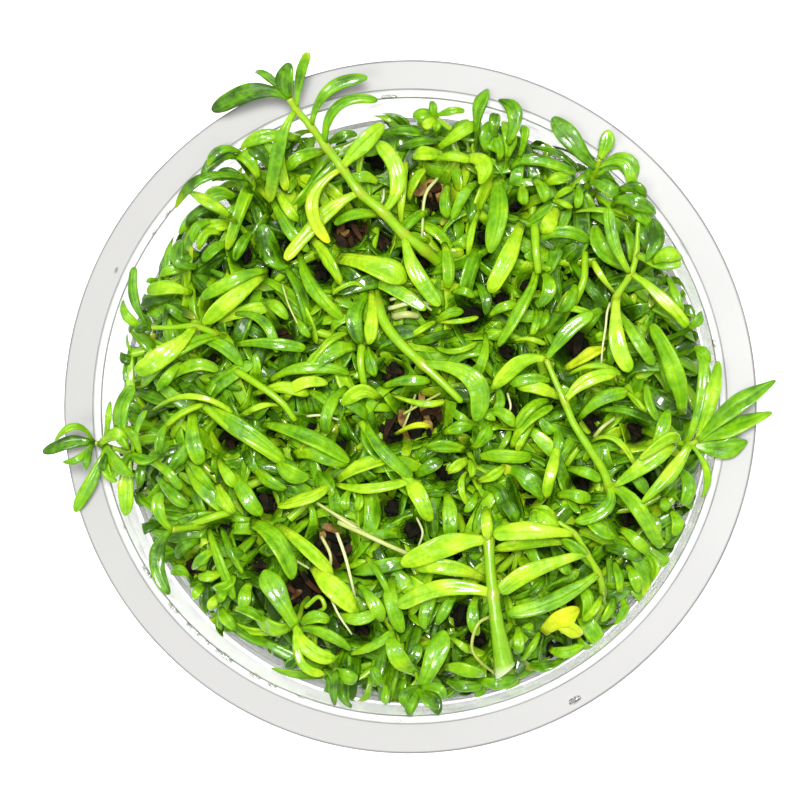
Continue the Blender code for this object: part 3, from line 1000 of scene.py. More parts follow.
SHOOTS = (
    Shoot("north_west", 0.82, (8, 12), (
        (5.6, 17.8, 35), (2.2, 21.2, 41.6), (-0.6, 23.4, 43.2), (-3.4, 26.4, 44.4), (-6.6, 29.1, 45.4),
        (-9, 32.4, 46.4), (-11.3, 35.4, 47.6), (-13.2, 38, 48.8), (-15.3, 40.4, 50), (-16.2, 41.9, 50.8),
    ), (
        Leaf(9, (-21.2, 42.8, 51.8), (-26.8, 40.2, 49.6), 2.6, DEEP),
        Leaf(9, (-16.8, 44.4, 53), (-16.1, 46.8, 53.8), 2.7, DEEP),
        Leaf(8, (-14.7, 45, 51.8), (-13.6, 48.2, 53.2), 1.5, GREEN, 0.3),
        Leaf(8, (-17.6, 35.2, 48.8), (-18.9, 27.8, 44.6), 2, GREEN, 0.35),
        Leaf(7, (-10.9, 43, 51.6), (-5.5, 44.8, 51.4), 1.8),
        Leaf(6, (-9.6, 40.9, 50.4), (-4.1, 41.6, 50), 1.5),
        Leaf(5, (-6.7, 35.2, 48), (-3.3, 38.4, 47.4), 2.4, BRIGHT, 0.2),
        Leaf(5, (-13.1, 27.6, 46.6), (-10.7, 22.2, 44.6), 1.9, BRIGHT, 0.75),
        Leaf(4, (-11.6, 25.8, 44.4), (-16.8, 19.8, 43), 2, BRIGHT, 0.6),
        Leaf(3, (-1.4, 31.2, 45.8), (-4.3, 36, 45.4), 2.4, BRIGHT),
        Leaf(2, (1.2, 18, 44.2), (4.4, 13.6, 43.2), 2.3, BRIGHT),
    ), shade=0.12),
    Shoot("west", 0.6, (-22, -9), (
        (-28.4, -12.4, 35), (-31.6, -10.4, 41.5), (-34.6, -8, 45.4), (-38.3, -6.5, 47.6),
        (-41, -5.7, 48.4), (-43, -5.1, 48.8),
    ), (
        Leaf(5, (-46.4, -5.2, 49.2), (-49.9, -6.5, 48), 1.9, DEEP),
        Leaf(4, (-43.1, -9.9, 48.4), (-45.5, -14.6, 47.2), 1.9),
        Leaf(3, (-39.3, -1.4, 48.4), (-37.5, 2.6, 47.4), 2.2),
        Leaf(3, (-38.5, -10.8, 47.2), (-38.6, -15.1, 46.2), 2.2, BRIGHT),
    ), shade=0.12),
    Shoot("east", 0.6, (29, -1), (
        (33, -3.8, 36), (36.4, -5, 43.6), (38.6, -5.3, 47.2), (39.6, -4.7, 48),
    ), (
        Leaf(3, (44, -0.8, 50.4), (50.3, 3.4, 49.8), 2.8, GREEN, 0, 0.45),
        Leaf(3, (44.8, -2.8, 48.9), (49.8, -1, 48.6), 2.9, GREEN, 0, 0.4),
        Leaf(2, (42.8, -5.9, 47.5), (46.4, -4.9, 47), 3),
        Leaf(1, (33.4, -7.3, 45.6), (28.2, -11.1, 44.4), 2.8, BRIGHT),
        Leaf(2, (35.6, -9.6, 46.9), (31.9, -13.3, 45.8), 2, BRIGHT),
    ), tip_share=0.45, shade=0.14),
    Shoot("north_east", 0.55, (18, 24), (
        (23.6, 28.6, 36), (25.2, 31, 43), (25.8, 32.4, 46.2), (26.2, 33.6, 47.6),
    ), (
        Leaf(2, (22.9, 35.5, 47.7), (19.8, 39.4, 47.6), 2.9, DEEP),
        Leaf(3, (27.1, 35.8, 48.7), (27.4, 37.6, 48.8), 2.1),
        Leaf(2, (29.6, 33, 47.6), (30.6, 29.3, 46.6), 1.7),
    )),
    Shoot("upper_east", 0.6, (24, 8), (
        (28, 10, 35), (28.2, 13.4, 41.8), (28.5, 14.9, 43), (30.4, 17.9, 44.4), (31.2, 20.6, 45.2),
        (31.5, 25, 46.2),
    ), (
        Leaf(3, (28.1, 22.6, 46.4), (27.4, 27, 46.4), 1.8),
        Leaf(3, (34.6, 14.8, 45.2), (38.3, 10.6, 44.2), 1.7, BRIGHT),
        Leaf(4, (34.6, 19.4, 47.2), (37.3, 19.6, 47.3), 1.9),
        Leaf(2, (28.6, 8.9, 44), (30.4, 4.6, 43.4), 2.4, BRIGHT),
    )),
    Shoot("right_centre", 0.7, (22, -13), (
        (27.6, -14.2, 35), (27.4, -11, 41.8), (26.6, -8.8, 43), (24.6, -5.6, 44.2), (22.6, -2.4, 44.8),
        (21.4, 0.5, 45.3), (20.2, 3.2, 45.7), (18.9, 6.2, 46),
    ), (
        Leaf(7, (21.8, 10, 47), (25.3, 12.7, 46.4), 2),
        Leaf(7, (15.4, 5.8, 46.8), (11.5, 2.2, 45), 2.2, BRIGHT),
        Leaf(5, (24.7, 3.5, 46.2), (28.4, 4.2, 45.2), 1.9, BRIGHT),
        Leaf(1, (27, -14.2, 43.2), (22.8, -15.9, 42.8), 1.9),
    )),
    Shoot("centre", 0.92, (-1, 18), (
        (-4.4, 16.6, 35), (-4.1, 13.6, 41.9), (-3, 10.9, 43.3), (-0.8, 8.2, 43.9), (2, 5.6, 44.3),
        (4.6, 3.2, 44.3), (7.2, 0.6, 43.8),
    ), (
        Leaf(4, (8.8, 3.6, 46), (9.3, -2.2, 44.6), 2.9, DEEP),
    ), shade=-0.3),
    Shoot("south", 0.74, None, (
        (10.7, -14.2, 43.4), (11, -18.4, 44.4), (11.2, -22, 44.9), (11.6, -25.8, 45.1),
        (12.1, -29.5, 44.9), (13.3, -36.4, 43.2),
    ), (
        Leaf(1, (4.9, -19.3, 45.4), (-0.9, -21.9, 44), 3.2, BRIGHT),
        Leaf(3, (5.2, -25, 45.4), (-1.4, -27.5, 44), 2.4, BRIGHT),
    )),
    Shoot("south_east", 0.62, (21, -22), (
        (26.6, -27.4, 34), (26.6, -25.2, 40.6), (26, -23, 42.6), (24.4, -20.2, 43.8), (22.8, -17.6, 44.6),
        (20.6, -16, 45),
    ), (
        Leaf(4, (16.8, -17.2, 46.2), (11.6, -17.6, 45.4), 2.6, BRIGHT),
        Leaf(3, (17.2, -22.6, 45), (12.4, -25.6, 44.6), 2.5, BRIGHT),
        Leaf(2, (20.2, -26.6, 44), (13.6, -28.6, 43.4), 2.3),
    )),
    Shoot("south_west", 0.55, (-11, -23), (
        (-13.8, -26.6, 35), (-14.8, -28.8, 41), (-15.3, -30.2, 43),
    ), (
        Leaf(2, (-17.8, -26, 44.8), (-19.7, -22.6, 43.8), 3.2),
        Leaf(2, (-13.4, -33.5, 44), (-9.9, -34.6, 43), 2.3, BRIGHT),
    )),
    Shoot("south_edge", 0.55, (2, -29), (
        (0.4, -32.4, 33), (0.9, -36, 41), (1.7, -38.6, 45.2),
    ), (
        Leaf(2, (3.6, -34.6, 46.8), (4.9, -30.8, 45.6), 3.1),
        Leaf(2, (3.6, -40.6, 47.4), (3.9, -42.3, 47.2), 2, DEEP),
    )),
    Shoot("upper_west", 0.6, (-18, 6), (
        (-23.6, 8.6, 35), (-26.4, 9.8, 42), (-29.2, 10.8, 44), (-32.4, 10.6, 45.8), (-35.4, 10.6, 47),
    ), (
        Leaf(2, (-32.9, 7.1, 46.8), (-37.3, 4.6, 45.8), 2.8, BRIGHT),
        Leaf(4, (-37.4, 14.6, 48), (-37.4, 18.9, 47.6), 1.4, DEEP),
    )),
    Shoot("lower_west", 0.78, (-20, -17), (
        (-25.6, -15.6, 35), (-28.4, -16.4, 41.4), (-30.6, -16.8, 44), (-32.3, -17, 45.6),
    ), (
        Leaf(3, (-34.4, -21.2, 47.6), (-32.6, -25.9, 47.6), 2.2, DEEP),
    )),
)


class Trace(NamedTuple):
    """A leaf of the growth as seen: foot, middle and tip, width, and how far it stands over the growth."""

    foot_x: float
    foot_y: float
    mid_x: float
    mid_y: float
    tip_x: float
    tip_y: float
    width: float
    lift: float | None = None
    tone: Tone = GREEN
    age: float = 0.0


@dataclass(frozen=True)
class TopLeaves:
    """The uppermost leaves of the growth in one part of the cup, joined as one piece."""

    name: str
    rows: tuple[tuple[Any, ...], ...]
    rest_lift: dict[Tone, float] = field(default_factory=lambda: {BRIGHT: 2.6, GREEN: 1.7, DEEP: 0.9})
    free_rise: float = 2.6
    hold: float = 2.9
    pointed_lift: float = 9.0

    def blade(self, trace: Trace, rng: random.Random) -> Blade:
        """One leaf's blade, arched over the growth below it.

        Args:
            trace: The leaf as seen.
            rng: Where chance comes from.

        Returns:
            The blade.
        """
        lift = self.rest_lift[trace.tone] if trace.lift is None else trace.lift
        length = math.dist(trace[0:2], trace[4:6])
        drops = (2.0 + 0.12 * length, 0.0, 0.6 + 0.1 * length)
        places = [
            EYE.placed((x, y, growth_top(math.hypot(x, y)) + lift - drop))
            for x, y, drop in zip(trace[0:6:2], trace[1:6:2], drops)
        ]
        turn = rng.uniform(-0.5, 0.5)
        looks = {"foot_turn": turn, "tip_turn": turn + rng.uniform(-0.6, 0.6), "fold": rng.uniform(0.02, 0.3)}
        if lift > self.pointed_lift:
            looks["tip_share"] = 0.5
        return Blade.varied(*places, trace.width, rng, thickness=rng.uniform(0.7, 1.05), **looks)

    def held(self, blade: Blade, draft: Draft, tint: float) -> Blade:
        """A leaf that stands free of the growth, set on the nearest shoot's stem or on its own thin stem.

        Args:
            blade: The leaf.
            draft: Where its own stem is added.
            tint: How bright that stem is.

        Returns:
            The leaf with its foot on a stem.
        """
        foot = blade.foot
        if foot.z < growth_top(foot.xy.length) + self.free_rise:
            return blade
        nearest = min(STEM_SPOTS, key=lambda spot: (spot - foot).length)
        if (nearest - foot).length < self.hold:
            return replace(blade, foot=nearest)
        start = Vector((*(foot.xy * (1.0 - 4.5 / foot.xy.length)), 0.0))
        start.z = growth_top(start.xy.length) - 4.0
        middle = start.lerp(foot, 0.5)
        middle.xy = start.xy.lerp(foot.xy, 0.75)
        Stalk([start, middle, foot], 0.42, 0.8, sides=8).draw(draft, tint)
        return blade

    def build(self) -> None:
        """Builds the piece."""
        rng = random.Random(f"{self.name}{SEED}")
        draft = Draft()
        for trace in (Trace(*row) for row in self.rows):
            tint = trace.tone.tint + rng.uniform(-0.08, 0.08)
            self.held(self.blade(trace, rng), draft, tint).draw(draft, tint, trace.age, pressed=True)
        add_piece(self.name, draft.mesh(self.name, LEAF), "leaf_green")


STEM_SPOTS = [spot for shoot in SHOOTS for spot in smooth(shoot.stem_points(), 6)]

# The leaves of each part of the cup, with the fields of a Trace in each row
NORTH_WEST = (
    (-17.5, 43, -19.2, 44.9, -20.8, 45.4, 1.2, 14.5, DEEP),
    (-17.2, 36.5, -17.4, 33, -16.6, 29.4, 1.5, 3.4, BRIGHT, 0.5),
    (-11, 34.8, -14.6, 34, -16.4, 32.1, 1.8, 3.6),
    (-13.4, 37.8, -15.2, 37.2, -16.8, 36, 1.5, 3.6),
    (-6.5, 29.3, -6.5, 33.5, -5, 36.3, 1, 3, BRIGHT),
    (-3.7, 26, -7, 26, -10, 24.8, 1.8, 2.2),
    (-0.8, 24.3, -0.9, 28.5, -0.3, 33.2, 1.2, 2.6, BRIGHT, 0.3),
    (-23.5, 34, -26.5, 33.5, -28.1, 30.9, 1.6, 10.6, DEEP),
    (-23.2, 34.6, -25.6, 34.9, -27.4, 32.6, 1.5, 11.6, DEEP, 0.4),
    (-22.5, 31, -28, 31, -31.8, 27, 1.6, 10.2, DEEP, 0.4),
    (-24.5, 25.9, -27, 27.6, -29.9, 29.1, 1.9, 10.2, BRIGHT),
    (-30.5, 22.5, -31.9, 21, -31, 19, 1),
    (-15, 36.6, -19.2, 36.8, -23, 35.2, 2, 9.6, GREEN, 0.3),
    (-20.5, 31, -21.8, 33.6, -23.6, 34.4, 2.3, 8),
    (-19, 32.6, -20.4, 34.6, -22.4, 35.2, 2.2, 8.4, DEEP),
    (-17.6, 33.8, -19.4, 35.4, -21.2, 35.8, 2, 7.4),
    (-22, 29.8, -24.4, 31.6, -26.8, 30.8, 2, 7.6, DEEP),
    (-19.6, 34.2, -18, 35.6, -16.2, 35.4, 1.8, 4.2, DEEP),
    (-23.6, 28.4, -26, 29, -27.8, 27.8, 2.4, 4.2),
    (-25.6, 26.6, -28.4, 26.6, -30.2, 24.4, 1.9, 4.6, DEEP),
    (-26.2, 25, -28.6, 24.6, -29.4, 22.2, 1.5, 4.4),
    (-25.8, 23.6, -27.8, 23.4, -28.6, 21.2, 1.4, 4.4, BRIGHT),
    (-29, 18.9, -31.4, 19.9, -30.9, 22.5, 1.9, 4.8, DEEP),
    (-20.8, 32, -22.6, 27.6, -24.8, 21.2, 2.1, 3, GREEN, 0.3),
    (-18.5, 28, -16.5, 24.5, -13.5, 21, 1.8, 2.4),
    (-18, 30, -16.8, 27.5, -15, 25.2, 1.6, 2.8, BRIGHT),
    (-10.2, 31.8, -12, 29.5, -12.6, 27, 1.2),
    (-22.4, 27, -24.2, 26.4, -25.8, 24.6, 1.8),
    (-24, 24.4, -26, 24.6, -28.2, 23.6, 2, None, BRIGHT),
    (-24.6, 22, -26.4, 21.4, -28, 19.6, 1.8),
    (-21.4, 23.6, -22.8, 22, -23.6, 19.8, 1.8, None, DEEP),
    (-27.8, 27.4, -29.8, 25.8, -31.2, 23.4, 1.8),
    (-30, 18.4, -32, 18.6, -33.8, 17.6, 1.6),
    (-28.6, 20.6, -30.6, 20.2, -32.4, 18.6, 1.8, None, DEEP),
)
NORTH = (
    (-10.8, 35.8, -9, 36.8, -7, 37, 1.5, 4, DEEP),
    (-4.2, 36.8, -1, 37.6, 2, 37.2, 1.6, 3.5, DEEP),
    (-1.2, 35, 1.5, 35.9, 4, 36, 1.6, 2.6, DEEP),
    (0.2, 28, 0.8, 30.5, 2.3, 32.3, 1.5, 2, BRIGHT),
    (3.7, 39.5, 3.4, 40.5, 3.3, 41.6, 1.3, 8.6),
    (3.7, 39.5, 5.8, 40.2, 7.6, 40.2, 1.1, 8.6),
    (3.7, 39.5, 2.2, 39.8, 0.8, 39.5, 1.8, 8.6),
    (3.7, 39.3, 2.9, 38.6, 2.1, 38.2, 1.5, 8, BRIGHT),
    (3.8, 39.3, 4, 38.3, 3.7, 37.6, 1.3, 8),
    (9.4, 37.6, 9.8, 40.6, 10.9, 43.1, 2.1, 11, DEEP),
    (13.8, 36, 14.6, 39.8, 12.4, 41.7, 2.3, 11, DEEP),
    (11, 34.6, 10.6, 37, 12, 38.8, 2, 6, DEEP),
    (13.6, 34, 13.9, 36.6, 13, 38.8, 2, 7.4),
    (12.4, 33.6, 12.6, 35.6, 11.4, 37.2, 1.8, 5),
    (12, 37, 11.8, 38.6, 12.2, 40.2, 1.6, 8, DEEP),
    (15.3, 34, 16, 37, 15.6, 38.3, 1.5, 7),
    (4.2, 35.2, 7.5, 37.5, 10, 38.5, 1.8, 5, BRIGHT),
    (4.5, 34, 2.6, 34.4, 0.7, 33.9, 2.4, 3.6, BRIGHT),
    (3.5, 33.5, 6, 34, 8.5, 33.5, 1.5, 4, BRIGHT),
    (8.2, 33.7, 10.3, 33, 9.8, 30.2, 2.6, 4.6, BRIGHT),
    (9.4, 30.3, 7.8, 29, 6, 25.3, 1.5, 3),
    (5.5, 30, 5, 27.8, 5.5, 25.7, 1.8, 2.2),
    (12.2, 31, 12.3, 26.5, 11.2, 20.8, 3, 4.6),
    (9.8, 26.5, 8.8, 24, 8.2, 20.5, 1, 3.2, BRIGHT),
    (15.7, 29.8, 15.7, 28.6, 16, 27.5, 1.8, 4, BRIGHT),
    (17.3, 30.7, 18.4, 29.4, 18.6, 27.8, 1.8, 4),
    (20.2, 26.8, 19.5, 25.2, 18.3, 23.5, 2.3, 2.8, BRIGHT),
    (15.5, 24.8, 13.5, 20, 11.2, 15.4, 2.6, 4.4, BRIGHT),
    (17.5, 18.3, 16.2, 14.5, 12.3, 8, 1.8, 2.8),
    (18.5, 18, 19.3, 16, 18, 13.5, 2, 3.6),
    (18, 22.4, 21, 23.8, 24.8, 22.5, 1.8, 3),
    (14.2, 32.5, 17, 33.6, 23, 31.7, 1.6, 4),
    (18.5, 30, 20.5, 31, 22.3, 31, 2, 3.4),
    (20, 28, 21.3, 29.2, 22.5, 29.5, 1.2, 3.2, BRIGHT),
    (17.2, 35.2, 20.5, 34.4, 23.2, 32.3, 0.9, 5, DEEP),
    (23.2, 30, 23.4, 28.6, 23, 27, 1.3, 3.4),
    (20, 27.9, 21.2, 27.6, 22.3, 27, 1, 3.4, BRIGHT),
    (2.6, 26.4, 0.4, 25.2, -1.4, 22.6, 2, 1.6),
    (-4.2, 30.4, -6.2, 31.2, -8.4, 30.6, 1.6, 2.4, BRIGHT),
    (12.8, 34.2, 11.6, 35.4, 10, 36, 1.6, 4.6),
    (-8.6, 33, -6.4, 34.6, -3.6, 34.8, 1.8, 2.6),
    (20.8, 36.6, 23, 35.4, 25, 33.4, 1.6, 3.6),
)
NORTH_EAST = (
    (25.8, 32.4, 29.4, 33.4, 30.9, 29.6, 2.8, 9.6, GREEN, 0.35),
    (22.6, 31.6, 26, 32, 29.6, 30, 2.4, 7.4, DEEP),
    (24, 30.4, 27.4, 29.8, 30.6, 28, 2.4, 6.6, DEEP),
    (29.2, 29.4, 31.2, 29.8, 32.5, 28.4, 2, 12, DEEP, 0.3),
    (28.4, 28, 31.2, 27.8, 33.8, 26.2, 2.2, 12, DEEP),
    (30.2, 28.6, 31.6, 27.8, 32, 26.2, 1.6, 11.4),
    (26, 28.6, 28.8, 26.8, 31, 26.2, 1.8, 4.6),
    (25, 26, 27.6, 25, 29.6, 23, 2.2, 2.4, DEEP),
    (29, 24.8, 30.4, 22.4, 30.6, 19.6, 1.8, 3),
    (33.3, 26, 33.9, 23, 32.5, 19.6, 2.3, 9.8, DEEP),
    (31.4, 25.2, 32.4, 24, 32.6, 21.2, 2.4, 8, DEEP),
    (29.8, 26.8, 31.6, 26.4, 33, 24.6, 2.2, 9),
    (33.6, 19.6, 35.6, 20.6, 37.5, 20, 2.2, 11.8, GREEN, 0.3),
    (22.7, 26.4, 26.5, 26.7, 30, 25.5, 0.8, 3.8, BRIGHT),
    (29.7, 18.8, 26.6, 21.2, 25.6, 24.6, 2.6, 3),
    (28.3, 15.2, 26.5, 17.5, 25.3, 19.8, 1, 3.2, BRIGHT),
    (28.9, 12.6, 31.3, 9, 33.6, 5.5, 1.9, 4),
    (35.5, 17.5, 36.6, 15.2, 37.5, 12.5, 1.2, 6.5),
    (38.5, 10.5, 39.6, 11.6, 40, 12.8, 1.5, 10.2),
    (22.8, 16.3, 22.2, 14.5, 20.8, 12.8, 1.8, 3),
    (20.3, 13, 22.8, 13.2, 25.4, 12.4, 1, 2.6, BRIGHT),
    (22.5, 19.5, 25, 16, 27, 13.5, 1.6, 1.4, DEEP),
    (21.7, 5, 24.5, 6.7, 26.8, 7.8, 1.9, 2, BRIGHT, 0.95),
)
EAST = (
    (40.5, -6.3, 40.8, -9, 40.2, -12.6, 1.1, 11),
    (33, -7, 34.5, -4, 35.6, -0.6, 1.9, 6.4),
    (39.8, -4, 41.5, 1, 42.4, 6, 2.1, 12.6, BRIGHT),
    (39, -4.4, 35.6, -4.5, 31.6, -7.4, 1.7, 8, BRIGHT),
    (39.7, -4, 40.5, 2.6, 39.5, 7.5, 2, 10.8),
    (39.2, 7.8, 40.4, 7.2, 41.3, 5.8, 1.5, 10.4),
    (37.4, -1, 36.4, 4.8, 33.2, 11, 2.8, 7),
    (32.5, 3, 33, 0, 34.2, -2, 1.4, 4.4),
    (30, 1.8, 31.4, 0.4, 32.5, -1, 1, 3.8, BRIGHT),
    (37, -8.6, 38.4, -11, 37.6, -13.6, 2, 5),
    (36, -14.6, 36.8, -16, 36.4, -17.8, 1.7, 4.6),
    (20.8, -4.6, 19.6, -9, 18.9, -12.6, 1.7, 3, BRIGHT),
    (29.4, -9.4, 31.4, -10.2, 32.6, -12.4, 1.8, 2, DEEP),
    (24, -14.4, 25.8, -16.8, 28.4, -18, 2, 2.6),
    (29, -17, 31.2, -18.4, 33, -20.6, 1.8, 3),
    (34, 7.4, 35.4, 4.6, 35.6, 1.8, 1.8, 3.6, DEEP),
    (35, -12.8, 35.1, -13.6, 35, -14.3, 1.7, 4.6),
    (27.5, -10.6, 31.4, -14, 34.5, -19.6, 2.3, 4.6),
    (26, -0.8, 30, -0.8, 34, -2.5, 1.2, 2.4, DEEP),
    (20.5, -12.3, 22.8, -12.3, 24.9, -13, 1.9, 2.4),
    (19.5, 3.4, 17, 3.6, 14, 3, 1.6, 4),
    (20.7, 1, 18, 2.3, 14.9, 2.5, 1.8, 3.6, BRIGHT),
    (19.2, 0.4, 17, -0.2, 14.8, -3.2, 1.6, 3.2),
    (22, 4.1, 25.5, 5.4, 29, 4.2, 0.9, 3.8, BRIGHT),
    (23.3, -1.9, 26.5, 0.8, 30, 1.8, 2, 3.6),
    (25, -5, 28.3, -4.6, 31, -8.3, 0.9, 3.4, BRIGHT),
    (22, -8.8, 24.3, -9.2, 26.3, -10.2, 1.6, 2.2),
    (20.5, -2.8, 20.6, -5, 20.3, -7, 1.6, 1.6, DEEP),
)
CENTRE = (
    (-9.5, 20, -4, 18.9, -0.3, 16.8, 3.5, 3.4, BRIGHT),
    (-5.5, 15.5, -7.3, 12, -6.3, 8.3, 2.4, 1.8, DEEP),
    (-7, 7.8, -10.8, 7.2, -13.8, 4.3, 2.6, 2.4),
    (-8, 9.8, -11, 8.5, -13.6, 4.8, 1.2, 3, BRIGHT),
    (-4, 1, -6.5, 1.9, -9, 0, 2.2, 2.8, BRIGHT),
    (-8.5, 2.2, -10.8, -0.4, -11.1, -3.7, 1.8, 2.6),
    (-5.5, 8, -5.2, 6, -4.5, 4, 1.8, 2.4),
    (-3.3, 2.6, 0, 3.4, 3, 3.2, 1.6, 1.8),
    (-2, 1.3, 2, 0.2, 5, 0.5, 1, 1.8, BRIGHT),
    (-6, -2.3, -5, -5.6, -2.5, -8, 2.5, 1.8, DEEP),
    (-1.5, -3.9, 1, -2.8, 3, -3, 0.9, 0.8, BRIGHT, 0.9),
    (3.9, 11.4, 2.2, 10.6, 0.5, 9.5, 1, 1.6, BRIGHT),
    (3.9, 11.4, 5.6, 12.6, 7.5, 12.8, 1.5, 2),
    (3.9, 11.4, 6.6, 11.4, 9.5, 12, 0.8, 1.6, BRIGHT, 0.3),
    (0.2, 8.7, 3.2, 9.2, 6, 10.2, 1.5, 1, DEEP),
    (3.8, 8, 6.5, 7.4, 9.3, 8.6, 0.9, 1.2, BRIGHT),
    (10.6, 9.5, 10.4, 6.6, 9.3, 4, 1.5, 2.4),
    (5, 22, 5.5, 19, 5.5, 16, 1.9, 2.8),
    (6.3, 15.5, 7.6, 15.6, 9, 14.8, 1.3, 2),
    (11.3, 12.3, 13, 13.4, 14.8, 13.8, 1.4, 2),
    (17.5, 13, 17.5, 11.2, 16.8, 9.5, 1.2, 2),
    (19, 13, 18.8, 11.7, 18, 10.5, 1.3, 2.2),
    (14.5, 8.8, 16.7, 9, 18.8, 8.3, 0.8, 3, BRIGHT),
    (7.5, -6, 5, -5.5, 2.5, -5.8, 2.2, 2.4),
    (8.8, -5.8, 10.4, -4.4, 11, -2.8, 2, 2.8),
    (5, -3.8, 7, -3, 8.8, -3, 1.8, 2),
    (9.5, -7, 13, -6.9, 16.8, -7.2, 2, 2.2, BRIGHT),
    (9.8, -1, 10.9, -1.3, 11.8, -2, 1.4, 1.4),
    (-9.5, -10.2, -6, -8.2, -2.8, -7.6, 2.2, 2.4, BRIGHT),
    (-15.5, -6.8, -12, -6.6, -8.3, -8.3, 2.6, 1.8),
    (-10, -10.8, -5, -11.4, 0.3, -10.2, 1.5, 2.2, BRIGHT),
    (-8, -11.8, -8.6, -13, -8.5, -14.4, 1.4, 1.8),
    (-6.6, -12, -6.6, -13.2, -7, -14.4, 1.4, 1.8),
    (-5.8, -2.4, -3.6, -6.2, 0.6, -9.8, 1.9, 2.8),
    (0, -10, 1.5, -12.5, 3.2, -15.8, 2.5, 2.4, BRIGHT),
    (8, -7.5, 6.8, -8.2, 5.5, -9.3, 1.7, 2.8, BRIGHT),
    (8.5, -7.6, 8.8, -8.8, 8.6, -9.8, 1.3, 2.8, BRIGHT),
    (9.8, -10.2, 11.5, -9.6, 13.2, -8.3, 1.5, 2.6, BRIGHT),
    (8.2, -9, 7.2, -11, 8.2, -13.6, 1, 2.4, BRIGHT, 0.5),
    (13, -8.8, 16.2, -9.8, 18.3, -13, 2.8, 1.6, DEEP),
    (1, -9.6, 3, -8.4, 4.6, -7.4, 1.9, 1.2, DEEP),
    (10.8, -0.8, 13, -1.2, 14.8, -3, 1.8, 2),
    (14.2, -6, 16, -2.5, 19.8, -0.2, 1.8, 2.4),
    (10.6, -11, 12.6, -12, 13.2, -15, 2.2, 1.4, DEEP),
    (11.8, 3, 12.6, 0.6, 11.6, -1.4, 1.5, 1.6),
    (-5, 15.4, -4.9, 11.6, -5.4, 8.4, 2, 2.6, BRIGHT),
    (1.6, 15.8, 3.6, 15.4, 4.8, 13.6, 1.6, 1.4),
    (9.4, 16.6, 10.6, 14.8, 10.6, 12.4, 1.6, 1.4, DEEP),
    (-14, 2, -11.6, 0.8, -9.8, -1.2, 1.4, 1.6),
)
